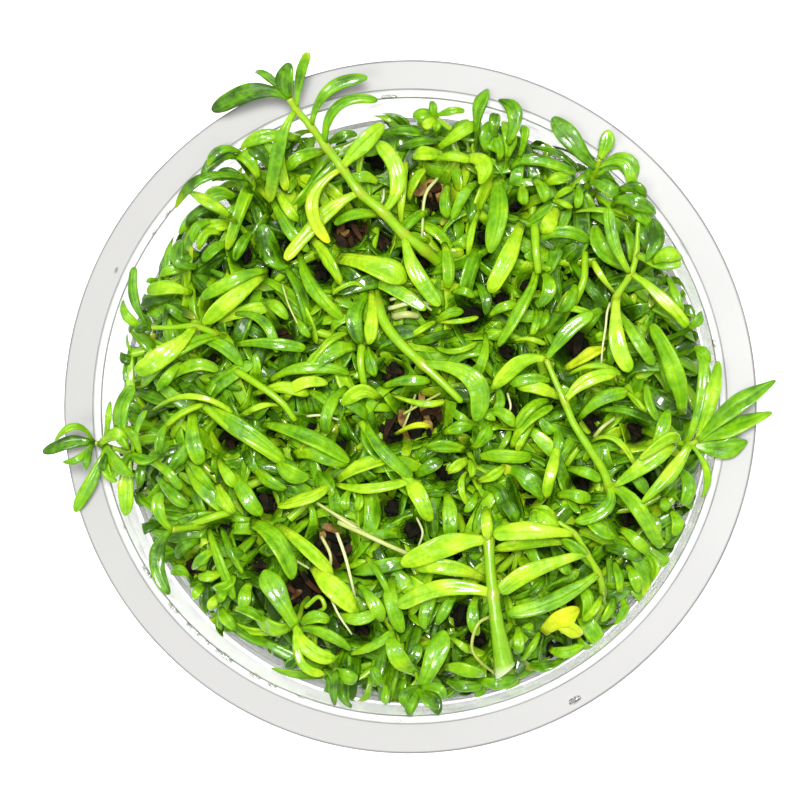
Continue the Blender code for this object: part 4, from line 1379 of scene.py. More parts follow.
WEST = (
    (-14.8, 20.5, -12.8, 15.8, -8.6, 11.5, 2, 2.2),
    (-13, 22.6, -10.8, 19.8, -9.2, 16.5, 2, 4, BRIGHT, 0.3),
    (-6, 16.2, -8, 16.6, -10.3, 15.2, 0.7, 2.8, BRIGHT),
    (-23.5, 12.5, -19.8, 11.4, -17.9, 7.2, 1.5, 2.4),
    (-23.5, 8.3, -18.8, 8.5, -14, 7.7, 1.7, 2),
    (-19.5, 14.2, -18, 13.4, -16.5, 11.8, 1.8, 2.6),
    (-15.5, 12, -14.6, 10.8, -13.5, 9.3, 1.3, 1.8),
    (-19, 3.2, -14, 5.2, -8, 4.3, 1.8, 2.2),
    (-16.8, 0.6, -14.6, 2.9, -11, 2.9, 1.8, 2.8, BRIGHT),
    (-17.5, 0, -20, -0.1, -22.5, -1.3, 0.9, 2.4, BRIGHT),
    (-19.8, -2.7, -14, -4.3, -8, -7.8, 2.4, 3),
    (-29, 0, -23.4, -2.8, -16.8, -8, 2.6, 3.4),
    (-17.5, -7.2, -16.4, -9.2, -13.5, -9.8, 2.6, 2.8),
    (-10.5, -10.8, -13.5, -12.6, -17.8, -13.8, 2.1, 2.6, BRIGHT),
    (-30, -8, -27.6, -11.6, -24, -15, 2.6, 3),
    (-21, 1.6, -17, 2.4, -13.6, 1.4, 1.8, 2.2, BRIGHT),
    (-28.6, 9, -25.4, 8, -22.6, 5.4, 2, 2.6),
    (-20.8, -8.6, -19, -10.4, -16.6, -11.4, 2, 2.2),
    (-36.2, -5.6, -37.8, -4, -39.4, -3.8, 1.4, 10.4),
    (-38, -7.6, -39.6, -8.6, -40.6, -10.2, 1.6, 12.4),
    (-37, -7.4, -36.6, -9.4, -36.9, -11.4, 1.5, 9.4, DEEP),
    (-41, -6.6, -41.6, -7.8, -41.8, -9.2, 1.2, 13.6, DEEP),
    (-41.6, -6.4, -39.6, -8.2, -37.4, -9.6, 2.1, 13.4),
    (-42, -5.2, -40.2, -4, -38.4, -4.6, 1.8, 13.8, BRIGHT),
    (-38.2, -6.8, -36.2, -7.6, -34.2, -7.2, 1.8, 10.4),
    (-41.8, -7, -41.2, -9, -39.8, -10.4, 1.7, 12.8),
    (-25.8, -0.3, -23.9, -2.4, -21.3, -5, 1.8, 2.6),
    (-19.5, 18.3, -23.5, 17.2, -28.3, 14.5, 2, 4),
    (-19.8, 17.6, -23.6, 14.9, -28, 11, 2.6, 3.8, BRIGHT),
    (-29.8, 15.3, -32.8, 16, -35.6, 15.6, 2.2, 4.6, BRIGHT),
    (-26, 9.4, -31.5, 7.4, -36.3, 2.6, 2.2, 5),
    (-31, 5.6, -32.6, 4.2, -34.2, 2, 1.6, 5),
    (-35.9, 10.9, -38.3, 12, -38.9, 14.3, 1.4, 11.5),
    (-35.2, 10.4, -36.4, 10.6, -37.5, 10.2, 1.6, 10.5, DEEP),
    (-43.4, -4.6, -45.3, -2.9, -48.3, -4.9, 1.1, 16.5),
    (-40.9, -4.8, -41, -2, -40.7, 0.4, 0.9, 15),
    (-43.6, -6, -44.9, -7.2, -47.1, -7.8, 1.1, 15.6),
    (-43.5, -6.2, -43.9, -7.4, -44, -8.6, 1.2, 15.6, DEEP),
    (-40, -3, -39.3, -4.6, -38.3, -6, 1.4, 13.6),
    (-37.5, -4.8, -36.9, -2.8, -35.7, -0.8, 1, 9.6),
    (-29.5, -1, -29.3, -5, -28.3, -8, 2.4, 4.4),
    (-32.8, -2.5, -33.9, -4.4, -34, -6.5, 1.4, 5.6),
    (-34.5, -0.6, -29.6, 1.2, -24, -1, 0.9, 5.2, BRIGHT),
    (-33.5, -4, -31.5, -1.5, -28, 0, 1, 5, BRIGHT),
    (-32.5, 3.5, -29.5, 5.4, -26, 4.8, 1.8, 4.4),
    (-31, 3, -29.2, 1.7, -27, 1, 2.2, 3.2, DEEP),
    (-25.8, -7.5, -24.8, -9.4, -23.5, -11, 1.8, 3.4, BRIGHT),
    (-30, -7.8, -28.2, -9.6, -26.5, -12, 1.5, 3.6),
    (-35.5, -7.4, -33, -9, -31, -11.5, 1.4, 5),
)
SOUTH_WEST = (
    (-27.2, -17, -25.9, -20.9, -23.8, -26.5, 1.6, 3.4),
    (-25.3, -17, -24.3, -19.8, -22.5, -23, 1, 2.8),
    (-33.4, -17.3, -34.1, -14.6, -33.7, -12, 1.8, 8.6),
    (-34, -10, -32.2, -12.2, -30, -13.8, 1.8, 4.6),
    (-26, -11, -25.1, -13, -23.7, -14.8, 2, 3.8, BRIGHT),
    (-24, -9, -22.3, -12.2, -20, -15, 2.4, 3.2),
    (-28, -25, -28.8, -25.6, -29.4, -26.4, 1.4, 4.4),
    (-26, -26, -26.7, -27, -27, -28, 1.5, 4.4, BRIGHT),
    (-24.6, -25.2, -25.4, -26, -25.8, -26.8, 1.4, 3.8),
    (-25.5, -28, -24.8, -29.4, -23.5, -30.5, 1.8, 4.6),
    (-23.5, -27.8, -21.7, -28.3, -20, -29.5, 1.7, 3.8),
    (-21.2, -16.2, -17.8, -18.9, -15.8, -23.8, 3, 4.2),
    (-18, -16.5, -14.2, -19.3, -10.3, -23.3, 2.2, 2.6, BRIGHT),
    (-13, -22.2, -10.4, -24.8, -6.8, -28.4, 3.1, 3, BRIGHT),
    (-20.8, -28.6, -19.4, -30, -17.4, -30.2, 2.2, 3.2),
    (-26.6, -20, -28, -20.8, -29.4, -22.4, 1.9, 4),
    (-25.6, -22.8, -27.2, -23.4, -28.6, -23.2, 1.9, 4.2, BRIGHT),
    (-23.8, -23.4, -24.8, -24.6, -26.6, -25, 1.8, 3.4),
    (-28.8, -18.6, -30.4, -19.2, -31.6, -20.8, 1.8, 4, DEEP),
    (-21.6, -24.4, -22.4, -26.4, -22.2, -28.4, 1.9, 3),
    (-30, -23.4, -31.2, -22.6, -32.4, -23, 1.6, 4.4),
    (-14.7, -29.9, -12.7, -29, -10.8, -29.5, 1.9, 3.4),
    (-15.9, -30.1, -18, -30.5, -19.6, -29, 2.6, 4.2),
    (-14.8, -30.6, -11.5, -31.1, -7.8, -33.5, 1.7, 3.8),
    (-15.8, -31.5, -14.7, -35, -11.5, -36.7, 1.3, 5.4, BRIGHT, 0.4),
    (-9.8, -36.5, -10.1, -38.8, -10, -41, 1.5, 10.4, DEEP),
    (-9.2, -37.5, -8.9, -39.8, -7.7, -41.2, 1.4, 10.4, DEEP),
    (-10, -36, -8.6, -37, -7, -37.3, 2.2, 8),
    (-14.6, -34.4, -15.6, -35, -16.6, -35.9, 1.8, 5.4, DEEP),
    (-6.8, -24.5, -4.8, -26.8, -3.5, -29.5, 2, 2.6),
    (-5.8, -20.5, -3.8, -23.3, -2.3, -26.5, 1, 2.2),
    (-2, -23.5, -2.2, -27, -0.7, -31, 2.2, 2.2),
    (-10, -28.5, -7, -29.2, -4.2, -28.3, 1.8, 2.8),
    (-7.8, -34, -4.8, -32.9, -2, -31, 1.3, 3.4, BRIGHT),
)
SOUTH = (
    (-0.9, -37.2, -1.4, -34.4, -2.3, -31.7, 2.6, 6),
    (-3, -38.5, -4.2, -37.3, -4.7, -35.9, 1.4, 8),
    (-2.8, -38.5, -3.1, -39.8, -2.9, -41, 1.2, 10),
    (1, -39.4, 0.5, -40.8, 0.3, -42.4, 1.9, 10.6, DEEP),
    (1.6, -38.8, 2.7, -40.4, 4.6, -41.2, 1.7, 10.6, DEEP),
    (0.4, -38.2, -0.4, -39.6, 0.1, -41.6, 1.7, 10.2, DEEP),
    (2.8, -38.2, 4.2, -38.8, 4.8, -40.3, 1.5, 10),
    (5.2, -35.8, 7.8, -36.1, 10.4, -36.9, 2, 6.4),
    (5.8, -31.8, 7.1, -32.6, 8.2, -33.8, 1, 3.6, BRIGHT),
    (7, -25.5, 5.4, -27.4, 4, -30, 1.6, 2.4),
    (10.5, -23.8, 6, -22.2, 1, -22.2, 2.3, 3.2, BRIGHT),
    (5.2, -12, 5.8, -15.2, 5.5, -18.5, 2.2, 2.6),
    (9.3, -12, 8.8, -13.4, 7.8, -14.5, 1.3, 2.6),
    (12.5, -12.5, 13.9, -14, 14.8, -16, 2, 1.8, DEEP),
    (10.4, -14, 10.7, -16, 11, -18.4, 1.7, 5.4, BRIGHT),
    (9.6, -26, 8.8, -28.6, 9.6, -31.4, 1.8, 2.6),
    (4.6, -24.8, 2.6, -27.6, 2.4, -30.6, 2, 2),
    (9.4, -37.4, 12, -38, 15, -37.2, 1.9, 3.4, DEEP),
    (5.2, -37.6, 7.6, -38.4, 10, -38.2, 1.7, 3, DEEP),
    (-1, -36.6, 0.6, -35, 1.4, -32.6, 1.8, 2.6, DEEP),
)
SOUTH_EAST = (
    (20.2, -16, 18.9, -15, 17.6, -14.7, 2.5, 3.6, BRIGHT),
    (17.5, -18, 17.2, -16.3, 17.3, -14.6, 1.4, 4.8),
    (27, -19.5, 29.6, -20, 32, -21, 1.8, 2.8, DEEP),
    (18.6, -30.8, 21, -29.2, 23.4, -28, 2.9, 3.8, BRIGHT, 0.95),
    (28.2, -21.5, 28.8, -23.5, 29, -25.5, 1.3, 3.4),
    (30, -22, 31, -23.6, 31.5, -25.5, 1.8, 3.8),
    (26.5, -26, 25.6, -27.8, 24, -29.5, 1.2, 3.8, BRIGHT),
    (28, -26.5, 27.5, -28, 26.5, -29.5, 1.5, 3.8),
    (15, -30.5, 15.2, -32.3, 14.8, -34, 1.6, 2.8),
    (18, -31, 17, -33, 15.5, -35, 1, 3),
    (18.5, -23.5, 17.7, -24.9, 16.5, -26, 1.6, 1.6, DEEP),
    (20, -21.5, 21.2, -22, 22, -23, 1.8, 2.4),
    (21.6, -18.8, 16.6, -18.8, 11.8, -19.8, 2.1, 3.6, BRIGHT),
    (17, -14.6, 18.6, -15.4, 20.6, -16.8, 2.2, 4.8, BRIGHT),
    (25.2, -21.8, 23.4, -19.8, 21, -18.4, 2.2, 4.2),
    (19, -29.4, 21.8, -30.4, 23.6, -31.4, 2.2, 3.6, BRIGHT, 0.9),
    (23, -24.2, 24.6, -26.6, 24.2, -29.2, 1.9, 2.8),
    (29.4, -26.6, 29.6, -28.4, 28.4, -30.2, 1.7, 3.6),
    (32.4, -20.2, 33.8, -21.8, 33.4, -24, 1.8, 4),
    (19.6, -33.4, 21.4, -33.8, 24, -32.8, 1.7, 3.4),
    (16.6, -35.4, 19, -35.8, 21.4, -34.6, 1.8, 3.4, DEEP),
)
PARTS = {
    "north_west": NORTH_WEST, "north": NORTH, "north_east": NORTH_EAST, "east": EAST, "centre": CENTRE,
    "west": WEST, "south_west": SOUTH_WEST, "south": SOUTH, "south_east": SOUTH_EAST,
}
TOP_LEAVES = [TopLeaves(f"top_leaves_{part}", rows) for part, rows in PARTS.items()]


def leaf_bed(count: int) -> bpy.types.Collection:
    """A hidden collection of small leaf shapes that the growth is made of: foot at the origin, along +X.

    A shape holds no tint or age of its own, because those would hide what each copy is given.

    Args:
        count: How many shapes there are.

    Returns:
        The collection.
    """
    bed = bpy.data.collections.new("leaf_shapes")
    rng = random.Random(SEED)
    for number in range(count):
        arch = rng.uniform(0.0, 0.22)
        blade = Blade.varied(
            Vector((0.0, 0.0, 0.0)), Vector((0.5, rng.uniform(-0.09, 0.09), arch)),
            Vector((1.0, rng.uniform(-0.22, 0.22), rng.uniform(-0.35, 0.05))),
            rng.uniform(0.21, 0.28), rng, rows=8, around=10, thickness=0.095, fold=rng.uniform(0.05, 0.35),
        )
        draft = Draft()
        blade.draw(draft, 0.0)
        name = f"leaf_shape_{number}"
        mesh = draft.mesh(name, LEAF)
        for value in ("tint", "age"):
            mesh.attributes.remove(mesh.attributes[value])
        bed.objects.link(bpy.data.objects.new(name, mesh))
    return bed


def press(mesh: bpy.types.Mesh) -> None:
    """Presses a mesh's points down into the gaps and against the inside of the cup's wall.

    Args:
        mesh: The mesh, in metres.
    """
    flat = np.empty(len(mesh.vertices) * 3, dtype=np.float32)
    mesh.vertices.foreach_get("co", flat)
    pressed = kept_inside(GAPS.pressed(flat.reshape(-1, 3).astype(float) / MM)) * MM
    mesh.vertices.foreach_set("co", pressed.astype(np.float32).ravel())
    mesh.update()


@dataclass(frozen=True)
class LowGrowth:
    """The mass of small stems and leaves under the top leaves, in sectors of the cup.

    Each stem is a line from the gel to the top of the growth, and Geometry Nodes set crossed pairs of leaves
    along it.
    """

    sectors: int = 4
    spacing: float = 4.8
    leaf_shapes: int = 12
    leaf_length: float = 9.4
    node_spacing: float = 3.5
    stem_radius: float = 0.62
    inner_start: float = 27.0
    edge_start: float = 13.0
    edge_band: float = 30.5
    step: float = 2.4

    def stem_lines(self, sector: int) -> list[tuple[list[Vector], float]]:
        """The stems of one sector.

        Args:
            sector: The sector's number, from 0.

        Returns:
            Each stem's points, and the height that its leaves start at.
        """
        rng = random.Random(SEED + sector)
        low = 2 * math.pi * sector / self.sectors
        high = low + 2 * math.pi / self.sectors
        lines = []
        steps = range(-12, 13)
        for column in steps:
            for row in steps:
                x = (column + 0.5 * (row % 2)) * self.spacing + rng.uniform(-1.3, 1.3)
                y = row * self.spacing * 0.87 + rng.uniform(-1.3, 1.3)
                radius, turn = math.hypot(x, y), math.atan2(y, x) % (2 * math.pi)
                if radius > growth_reach(turn) or not low <= turn < high:
                    continue
                start = self.edge_start if radius > self.edge_band else self.inner_start
                lines.append((self.stem_line(x, y, rng), start))
        return lines

    def stem_line(self, x: float, y: float, rng: random.Random) -> list[Vector]:
        """One stem, up through the growth and then bent over along its top.

        Args:
            x: Its foot's x.
            y: Its foot's y.
            rng: Where chance comes from.

        Returns:
            Its points.
        """
        spot = Vector((x, y, GEL_TOP - 3.0))
        heading = rng.uniform(0.0, 2 * math.pi)
        over = max(0.0, rng.gauss(6.0, 4.0))
        room = 1.0 + 6.0 * rng.random() ** 1.4
        points = [spot.copy()]
        run = 0.0
        for _ in range(40):
            radius = spot.xy.length
            sunk = float(GAPS.sunk(np.array(spot)))
            near = (growth_top(radius) - room - sunk - spot.z) / 9.0
            tilt = 1.45 * (1.0 - min(1.0, max(0.0, near))) ** 1.5 + 0.12
            heading += rng.gauss(0.0, 0.25)
            way = toward(heading)
            limit = inner_radius(min(spot.z, 33.0)) - 1.0
            if radius > limit - 1.0 and way.dot(spot.xy) > 0:
                inward = -spot.xy / radius
                way = (way + inward * 1.6 * (radius - limit + 1.0)).normalized()
                heading = math.atan2(way.y, way.x)
            spot = spot + Vector((*(way * math.sin(tilt)), math.cos(tilt))) * self.step
            points.append(spot.copy())
            run += self.step if tilt > 1.0 else 0.0
            if near < 0.25 and run >= over:
                break
        return points

    def curve(self, name: str, sector: int) -> bpy.types.Object:
        """The stems of one sector as one curve object, whose radius is the height that leaves start at.

        Args:
            name: The object's name.
            sector: The sector's number, from 0.

        Returns:
            The object.
        """
        data = bpy.data.curves.new(name, "CURVE")
        data.dimensions = "3D"
        for points, start in self.stem_lines(sector):
            line = smooth(points, 3)
            spline = data.splines.new("POLY")
            spline.points.add(len(line) - 1)
            for spot, point in zip(spline.points, line):
                spot.co = (*(point * MM), 1.0)
                spot.radius = start * MM
        return add_object(name, data)

    def tree(self, bed: bpy.types.Collection) -> bpy.types.NodeTree:
        """The node tree that turns stem lines into leafy stems.

        Args:
            bed: The leaf shapes.

        Returns:
            The tree.
        """
        group = bpy.data.node_groups.new("leafy_stems", "GeometryNodeTree")
        for name, kind in (
            ("Geometry", "Geometry"), ("Leaf Length", "Float"), ("Node Spacing", "Float"),
            ("Stem Radius", "Float"), ("Seed", "Int"),
        ):
            group.interface.new_socket(name, in_out="INPUT", socket_type=f"NodeSocket{kind}")
        group.interface.new_socket("Geometry", in_out="OUTPUT", socket_type="NodeSocketGeometry")
        tree = Tree(group)
        given = tree.node("NodeGroupInput", None, "Geometry")
        seed = given.out("Seed")
        factor = tree.node("GeometryNodeSplineParameter", None, "Factor")
        start = tree.node("GeometryNodeInputRadius")
        inputs = {"Curve": given, "Length": given.out("Node Spacing")}
        resampled = tree.node("GeometryNodeResampleCurve", inputs, "Curve", mode="LENGTH")
        kept = tree.node("GeometryNodeCaptureAttribute", {"Geometry": resampled}, "Geometry")
        capture = kept.socket.node
        capture.capture_items.new("FLOAT", "Along")
        capture.capture_items.new("FLOAT", "Start")
        group.links.new(factor.socket, capture.inputs["Along"])
        group.links.new(start.socket, capture.inputs["Start"])
        along, leaf_start = kept.out("Along"), kept.out("Start")
        points = tree.node("GeometryNodeCurveToPoints", {"Curve": kept}, "Points", mode="EVALUATED")
        index = tree.node("GeometryNodeInputIndex")
        position = tree.node("GeometryNodeInputPosition")
        height = tree.split(position).out("Z")
        leafy = height.math("GREATER_THAN", height, leaf_start)
        parts = []
        inputs = {"Vector": points.out("Tangent")}
        aligned = tree.node("FunctionNodeAlignRotationToVector", inputs, "Rotation", axis="Z")
        for side in (0, 1):
            spin = self.random(tree, -0.5, 0.5, seed + (11 + side), index)
            parity = index.math("MODULO", index, 2.0)
            yaw = spin + parity * (math.pi / 2) + side * math.pi
            spread = self.random(tree, 0.15, 0.7, seed + (23 + side), index)
            turned = self.turned(tree, self.turned(tree, aligned, 0.0, yaw), spread * -1.0, 0.0)
            lean = [self.random(tree, -0.5, 0.5, seed + (31 + 2 * side + axis), index) for axis in (0, 1)]
            lift = self.random(tree, -0.3, 0.25, seed + (81 + side), index) + (along ** 6.0) * 0.4
            turned = self.facing_up(tree, turned, lean, lift)
            size = self.random(tree, 0.5, 1.2, seed + (41 + side), index) * given.out("Leaf Length")
            size = size * (1.0 - (along ** 8.0) * 0.35)
            wide = self.random(tree, 0.75, 1.25, seed + (47 + side), index)
            inputs = {"Min_002": 0, "Max_002": self.leaf_shapes - 1, "ID": index, "Seed": seed + (53 + side)}
            pick = tree.node("FunctionNodeRandomValue", inputs, "Value_002", data_type="INT")
            inputs = {"Collection": bed, "Separate Children": True, "Reset Children": True}
            shapes = tree.node("GeometryNodeCollectionInfo", inputs)
            inputs = {
                "Points": points, "Selection": leafy, "Instance": shapes, "Pick Instance": True,
                "Instance Index": pick, "Rotation": turned, "Scale": tree.vector(size, size * wide, size),
            }
            leaves = tree.node("GeometryNodeInstanceOnPoints", inputs, "Instances")
            here = tree.node("GeometryNodeInputIndex")
            place = tree.node("GeometryNodeInputPosition")
            # Painted light: leaves higher in the growth are made brighter, lower ones darker
            painted_top_light = tree.split(place).out("Z").ramp(0.0325, 0.0405) * 0.36
            clump = (tree.noise(place, 120.0) - 0.5) * 0.9
            shade = self.random(tree, -0.2, 0.4, seed + (61 + side), here) + painted_top_light + clump
            age = self.random(tree, -1.2, 0.62, seed + (71 + side), here)
            for name, value in (("tint", shade), ("age", age)):
                leaves = self.stored(tree, leaves, name, value.math("MAXIMUM", value, 0.0), "INSTANCE")
            parts.append(leaves)
        inputs = {"Resolution": 7, "Radius": given.out("Stem Radius")}
        profile = tree.node("GeometryNodeCurvePrimitiveCircle", inputs)
        even = tree.node("GeometryNodeSetCurveRadius", {"Curve": resampled, "Radius": 1.0})
        inputs = {"Curve": even, "Profile Curve": profile, "Fill Caps": True}
        stems = tree.node("GeometryNodeCurveToMesh", inputs)
        stems = tree.node("GeometryNodeSetMaterial", {"Geometry": stems, "Material": STEM.material})
        stems = self.stored(tree, stems, "tint", 0.75, "POINT")
        leaves = tree.node("GeometryNodeJoinGeometry", {"Geometry": parts})
        leaves = tree.node("GeometryNodeRealizeInstances", {"Geometry": leaves})
        leaves = tree.node("GeometryNodeSetMaterial", {"Geometry": leaves, "Material": LEAF.material})
        both = tree.node("GeometryNodeJoinGeometry", {"Geometry": [stems, leaves]})
        smoothed = tree.node("GeometryNodeSetShadeSmooth", {"Geometry": both})
        tree.node("NodeGroupOutput", {"Geometry": smoothed})
        return group

    @staticmethod
    def stored(tree: Tree, geometry: Wire, name: str, value: Any, domain: str) -> Wire:
        """A geometry that holds a named value."""
        inputs = {"Geometry": geometry, "Name": name, "Value": value}
        return tree.node("GeometryNodeStoreNamedAttribute", inputs, domain=domain, data_type="FLOAT")

    @staticmethod
    def random(tree: Tree, low: float, high: float, seed: Any, index: Wire) -> Wire:
        """A random value for each point."""
        inputs = {"Min_001": low, "Max_001": high, "ID": index, "Seed": seed}
        return tree.node("FunctionNodeRandomValue", inputs, "Value_001", data_type="FLOAT")

    @staticmethod
    def turned(tree: Tree, rotation: Wire, y: Any, z: Any) -> Wire:
        """A rotation turned further about its own Y and Z."""
        extra = tree.node("FunctionNodeEulerToRotation", {"Euler": tree.vector(0.0, y, z)})
        inputs = {"Rotation": rotation, "Rotate By": extra}
        return tree.node("FunctionNodeRotateRotation", inputs, rotation_space="LOCAL")

    @staticmethod
    def facing_up(tree: Tree, rotation: Wire, lean: list[Wire], lift: Wire) -> Wire:
        """A rotation whose leaf keeps its bearing, droops towards the level and turns its face to the sky.

        Args:
            tree: The tree.
            rotation: The rotation before.
            lean: How far the face leans off the sky, along X and along Y.
            lift: What is added to the leaf's rise.

        Returns:
            The rotation after.
        """
        align = "FunctionNodeAlignRotationToVector"
        inputs = {"Vector": (1.0, 0.0, 0.0), "Rotation": rotation}
        way = tree.split(tree.node("FunctionNodeRotateVector", inputs))
        level = tree.vector(way, way.out("Y"), way.out("Z") * 0.35 + lift)
        along = tree.node(align, {"Vector": level}, "Rotation", axis="X")
        inputs = {"Rotation": along, "Vector": tree.vector(*lean, 1.0)}
        return tree.node(align, inputs, axis="Z", pivot_axis="X")

    def build(self) -> None:
        """Builds every sector."""
        bed = leaf_bed(self.leaf_shapes)
        group = self.tree(bed)
        values = {
            "Leaf Length": self.leaf_length, "Node Spacing": self.node_spacing * MM,
            "Stem Radius": self.stem_radius * MM,
        }
        names = {item.name: item.identifier for item in group.interface.items_tree if item.in_out == "INPUT"}
        for sector in range(self.sectors):
            name = f"low_growth_{sector + 1}"
            curve = self.curve(f"{name}_lines", sector)
            modifier = curve.modifiers.new("leafy_stems", "NODES")
            modifier.node_group = group
            for key, value in values.items():
                modifier[names[key]] = value
            modifier[names["Seed"]] = SEED + 100 * sector
            bpy.context.view_layer.update()
            evaluated = curve.evaluated_get(bpy.context.evaluated_depsgraph_get())
            mesh = bpy.data.meshes.new_from_object(evaluated)
            mesh.name = name
            bpy.data.objects.remove(curve, do_unlink=True)
            press(mesh)
            add_piece(name, mesh, "low_growth", "low_growth")


@dataclass(frozen=True)
class UpperGrowth:
    """Strap leaves by chance that lie along the top of the growth, under the listed leaves."""

    sectors: int = 4
    count: int = 125
    lengths: Spot = (6.5, 11.5)
    widths: Spot = (1.5, 2.5)
    depths: Spot = (0.2, 4.6)

    def build(self) -> None:
        """Builds every sector."""
        for sector in range(self.sectors):
            rng = random.Random(SEED * (sector + 3))
            draft = Draft()
            for _ in range(self.count):
                turn = 2 * math.pi * (sector + rng.random()) / self.sectors
                self.strap(growth_reach(turn) * math.sqrt(rng.random()), turn, draft, rng)
            name = f"upper_growth_{sector + 1}"
            mesh = draft.mesh(name, LEAF)
            press(mesh)
            add_piece(name, mesh, "low_growth", "low_growth")

    def strap(self, radius: float, turn: float, draft: Draft, rng: random.Random) -> None:
        """Adds one strap leaf.

        Args:
            radius: How far its middle is from the cup's axis.
            turn: The middle's bearing.
            draft: Where it is added.
            rng: Where chance comes from.
        """
        middle = toward(turn) * radius
        half = toward(rng.uniform(0.0, 2 * math.pi)) * rng.uniform(*self.lengths) / 2
        bend = Vector((-half.y, half.x)) * rng.uniform(-0.35, 0.35)
        depth = rng.uniform(*self.depths)
        spots = (middle - half, middle + bend, middle + half)
        drops = (rng.uniform(1.0, 3.4), 0.0, 1.0)
        places = [
            Vector((*spot, growth_top(spot.length) - depth - drop)) for spot, drop in zip(spots, drops)
        ]
        lean = rng.uniform(-0.9, 0.9)
        blade = Blade.varied(
            *places, rng.uniform(*self.widths), rng, rows=11, around=12, thickness=rng.uniform(0.6, 0.95),
            foot_turn=lean, tip_turn=lean + rng.uniform(-0.5, 0.5),
        )
        # Painted shade: straps that lie deeper under the top of the growth are darker
        tint = 0.62 - 0.14 * depth + rng.gauss(0.0, 0.2)
        blade.draw(draft, tint, max(0.0, rng.uniform(-1.6, 0.55)), pressed=True)


class Thread(NamedTuple):
    """A root or straw as seen: its places, its height over the growth, its thickness and how pale it is."""

    places: tuple[Spot, ...]
    lift: float
    width: float
    pale: float


@dataclass(frozen=True)
class Threads:
    """Pale roots, dry straws and small bare stems that lie over the growth, joined as one piece."""

    name: str
    rows: tuple[tuple[Any, ...], ...]
    finish: Finish
    slot: str
    tint: float = 0.7

    def build(self) -> None:
        """Builds the piece."""
        draft = Draft()
        for thread in (Thread(*row) for row in self.rows):
            route = []
            for number, (x, y) in enumerate(thread.places):
                end = number in (0, len(thread.places) - 1)
                height = growth_top(math.hypot(x, y)) + thread.lift - (1.2 if end else 0.0)
                route.append(EYE.placed((x, y, height)))
            Stalk(route, thread.width / 2, 0.8, sides=8).draw(draft, self.tint, thread.pale)
        add_piece(self.name, draft.mesh(self.name, self.finish), self.slot)


# Threads, with the fields of a Thread in each row
ROOTS = (
    (((4, 31), (2.3, 28.5), (1.9, 23)), 0.6, 0.5, 0.5),
    (((-9.3, 34.6), (-8.4, 35.4), (-7.2, 36)), 3, 0.35, 0.8),
    (((-3.9, 27.2), (-3.4, 28.2), (-3.3, 29.5)), 1.6, 0.4, 0.9),
    (((27.6, 14), (27.2, 12.6), (27, 10.6), (26.6, 8), (26.4, 5.5)), 2.6, 0.35, 0.9),
    (((-9.5, -16), (-6, -17.6), (-2.6, -19.2), (0, -20.3)), 2.8, 0.75, 0.35),
    (((-10.6, -14.6), (-7.4, -16.6), (-4.4, -18.2)), 2.4, 0.5, 0.6),
    (((-12.4, -13.4), (-9.8, -15), (-7, -16.4)), 2, 0.45, 0.3),
    (((-9.7, -17.5), (-8.5, -21), (-7.3, -26)), 1.8, 0.5, 0.9),
    (((-10.5, -26.5), (-9.4, -28.8), (-7.7, -31.3)), 3, 0.35, 0.9),
    (((-11.8, -18), (-10.6, -20.6), (-10.8, -23.4)), 0.4, 0.5, 0.5),
    (((-13.8, -1.5), (-11.6, -1.4), (-9.5, -2)), 1.4, 0.4, 0.9),
    (((25.5, -4.3), (26.6, -3), (28.2, -1.8)), 1.8, 0.6, 0.3),
    (((13.6, 1.6), (14, -0.4), (13, -2.2)), 0.8, 0.35, 0.9),
    (((-19.4, -17.8), (-16.6, -20.4), (-13.4, -22.4)), 0.6, 0.4, 0.5),
    (((1.2, -15.4), (2, -17.4), (1.4, -19.4)), 0.6, 0.35, 0.7),
    (((11.3, -28.8), (9.5, -30), (8.7, -33), (9.8, -35), (12, -36.8)), 3.6, 0.5, 0.1),
    (((-17.2, 16.5), (-16.2, 13.4), (-14.5, 10)), 2.2, 0.3, 0.4),
    (((-0.6, -1.2), (1.8, 0.2), (4.4, 1.6)), 0.9, 0.4, 0.2),
    (((1, 1.4), (0.2, -1), (-0.8, -3.4)), -0.4, 0.35, 0.3),
    (((-1.9, 12.1), (-0.3, 12.4), (1.3, 12.2)), 0.3, 1.2, 0.35),
    (((-2.6, 13.2), (0.6, 14), (4, 13.8)), 0.9, 0.7, 0.6),
    (((-2.4, 14.4), (0.4, 15), (3.2, 13)), 1.1, 0.5, 0.4),
)
STALKS = (
    (((-23.5, 4.7), (-20.5, 2.8), (-17.3, 0.4), (-15.5, -2)), 2.6, 1.1, 0),
    (((-28, 0), (-24, -3.5), (-20.6, -5.6), (-17.5, -7.5)), 3.2, 1.2, 0),
    (((-6.3, 8), (-6.5, 6), (-6, 2.7)), 2.2, 1.2, 0),
    (((17.3, 24.5), (17.5, 21), (17.8, 18.2)), 3.4, 1.3, 0),
    (((3, 38.2), (3.6, 39.2), (5.8, 37.8)), 6.2, 1, 0),
    (((-24.4, -14.6), (-27, -15.4), (-29.8, -16.4)), 3.6, 1.2, 0),
    (((2.2, -12.4), (-0.6, -9.4), (-4.6, -5), (-6.4, -2.4)), 1.4, 1.3, 0),
    (((22.5, 13.6), (24, 17), (24.2, 20.8)), 1.6, 1.2, 0),
    (((-14, -27.6), (-12.2, -26.2), (-11.4, -27.6), (-12.6, -28.4)), 1.8, 0.7, 0),
)


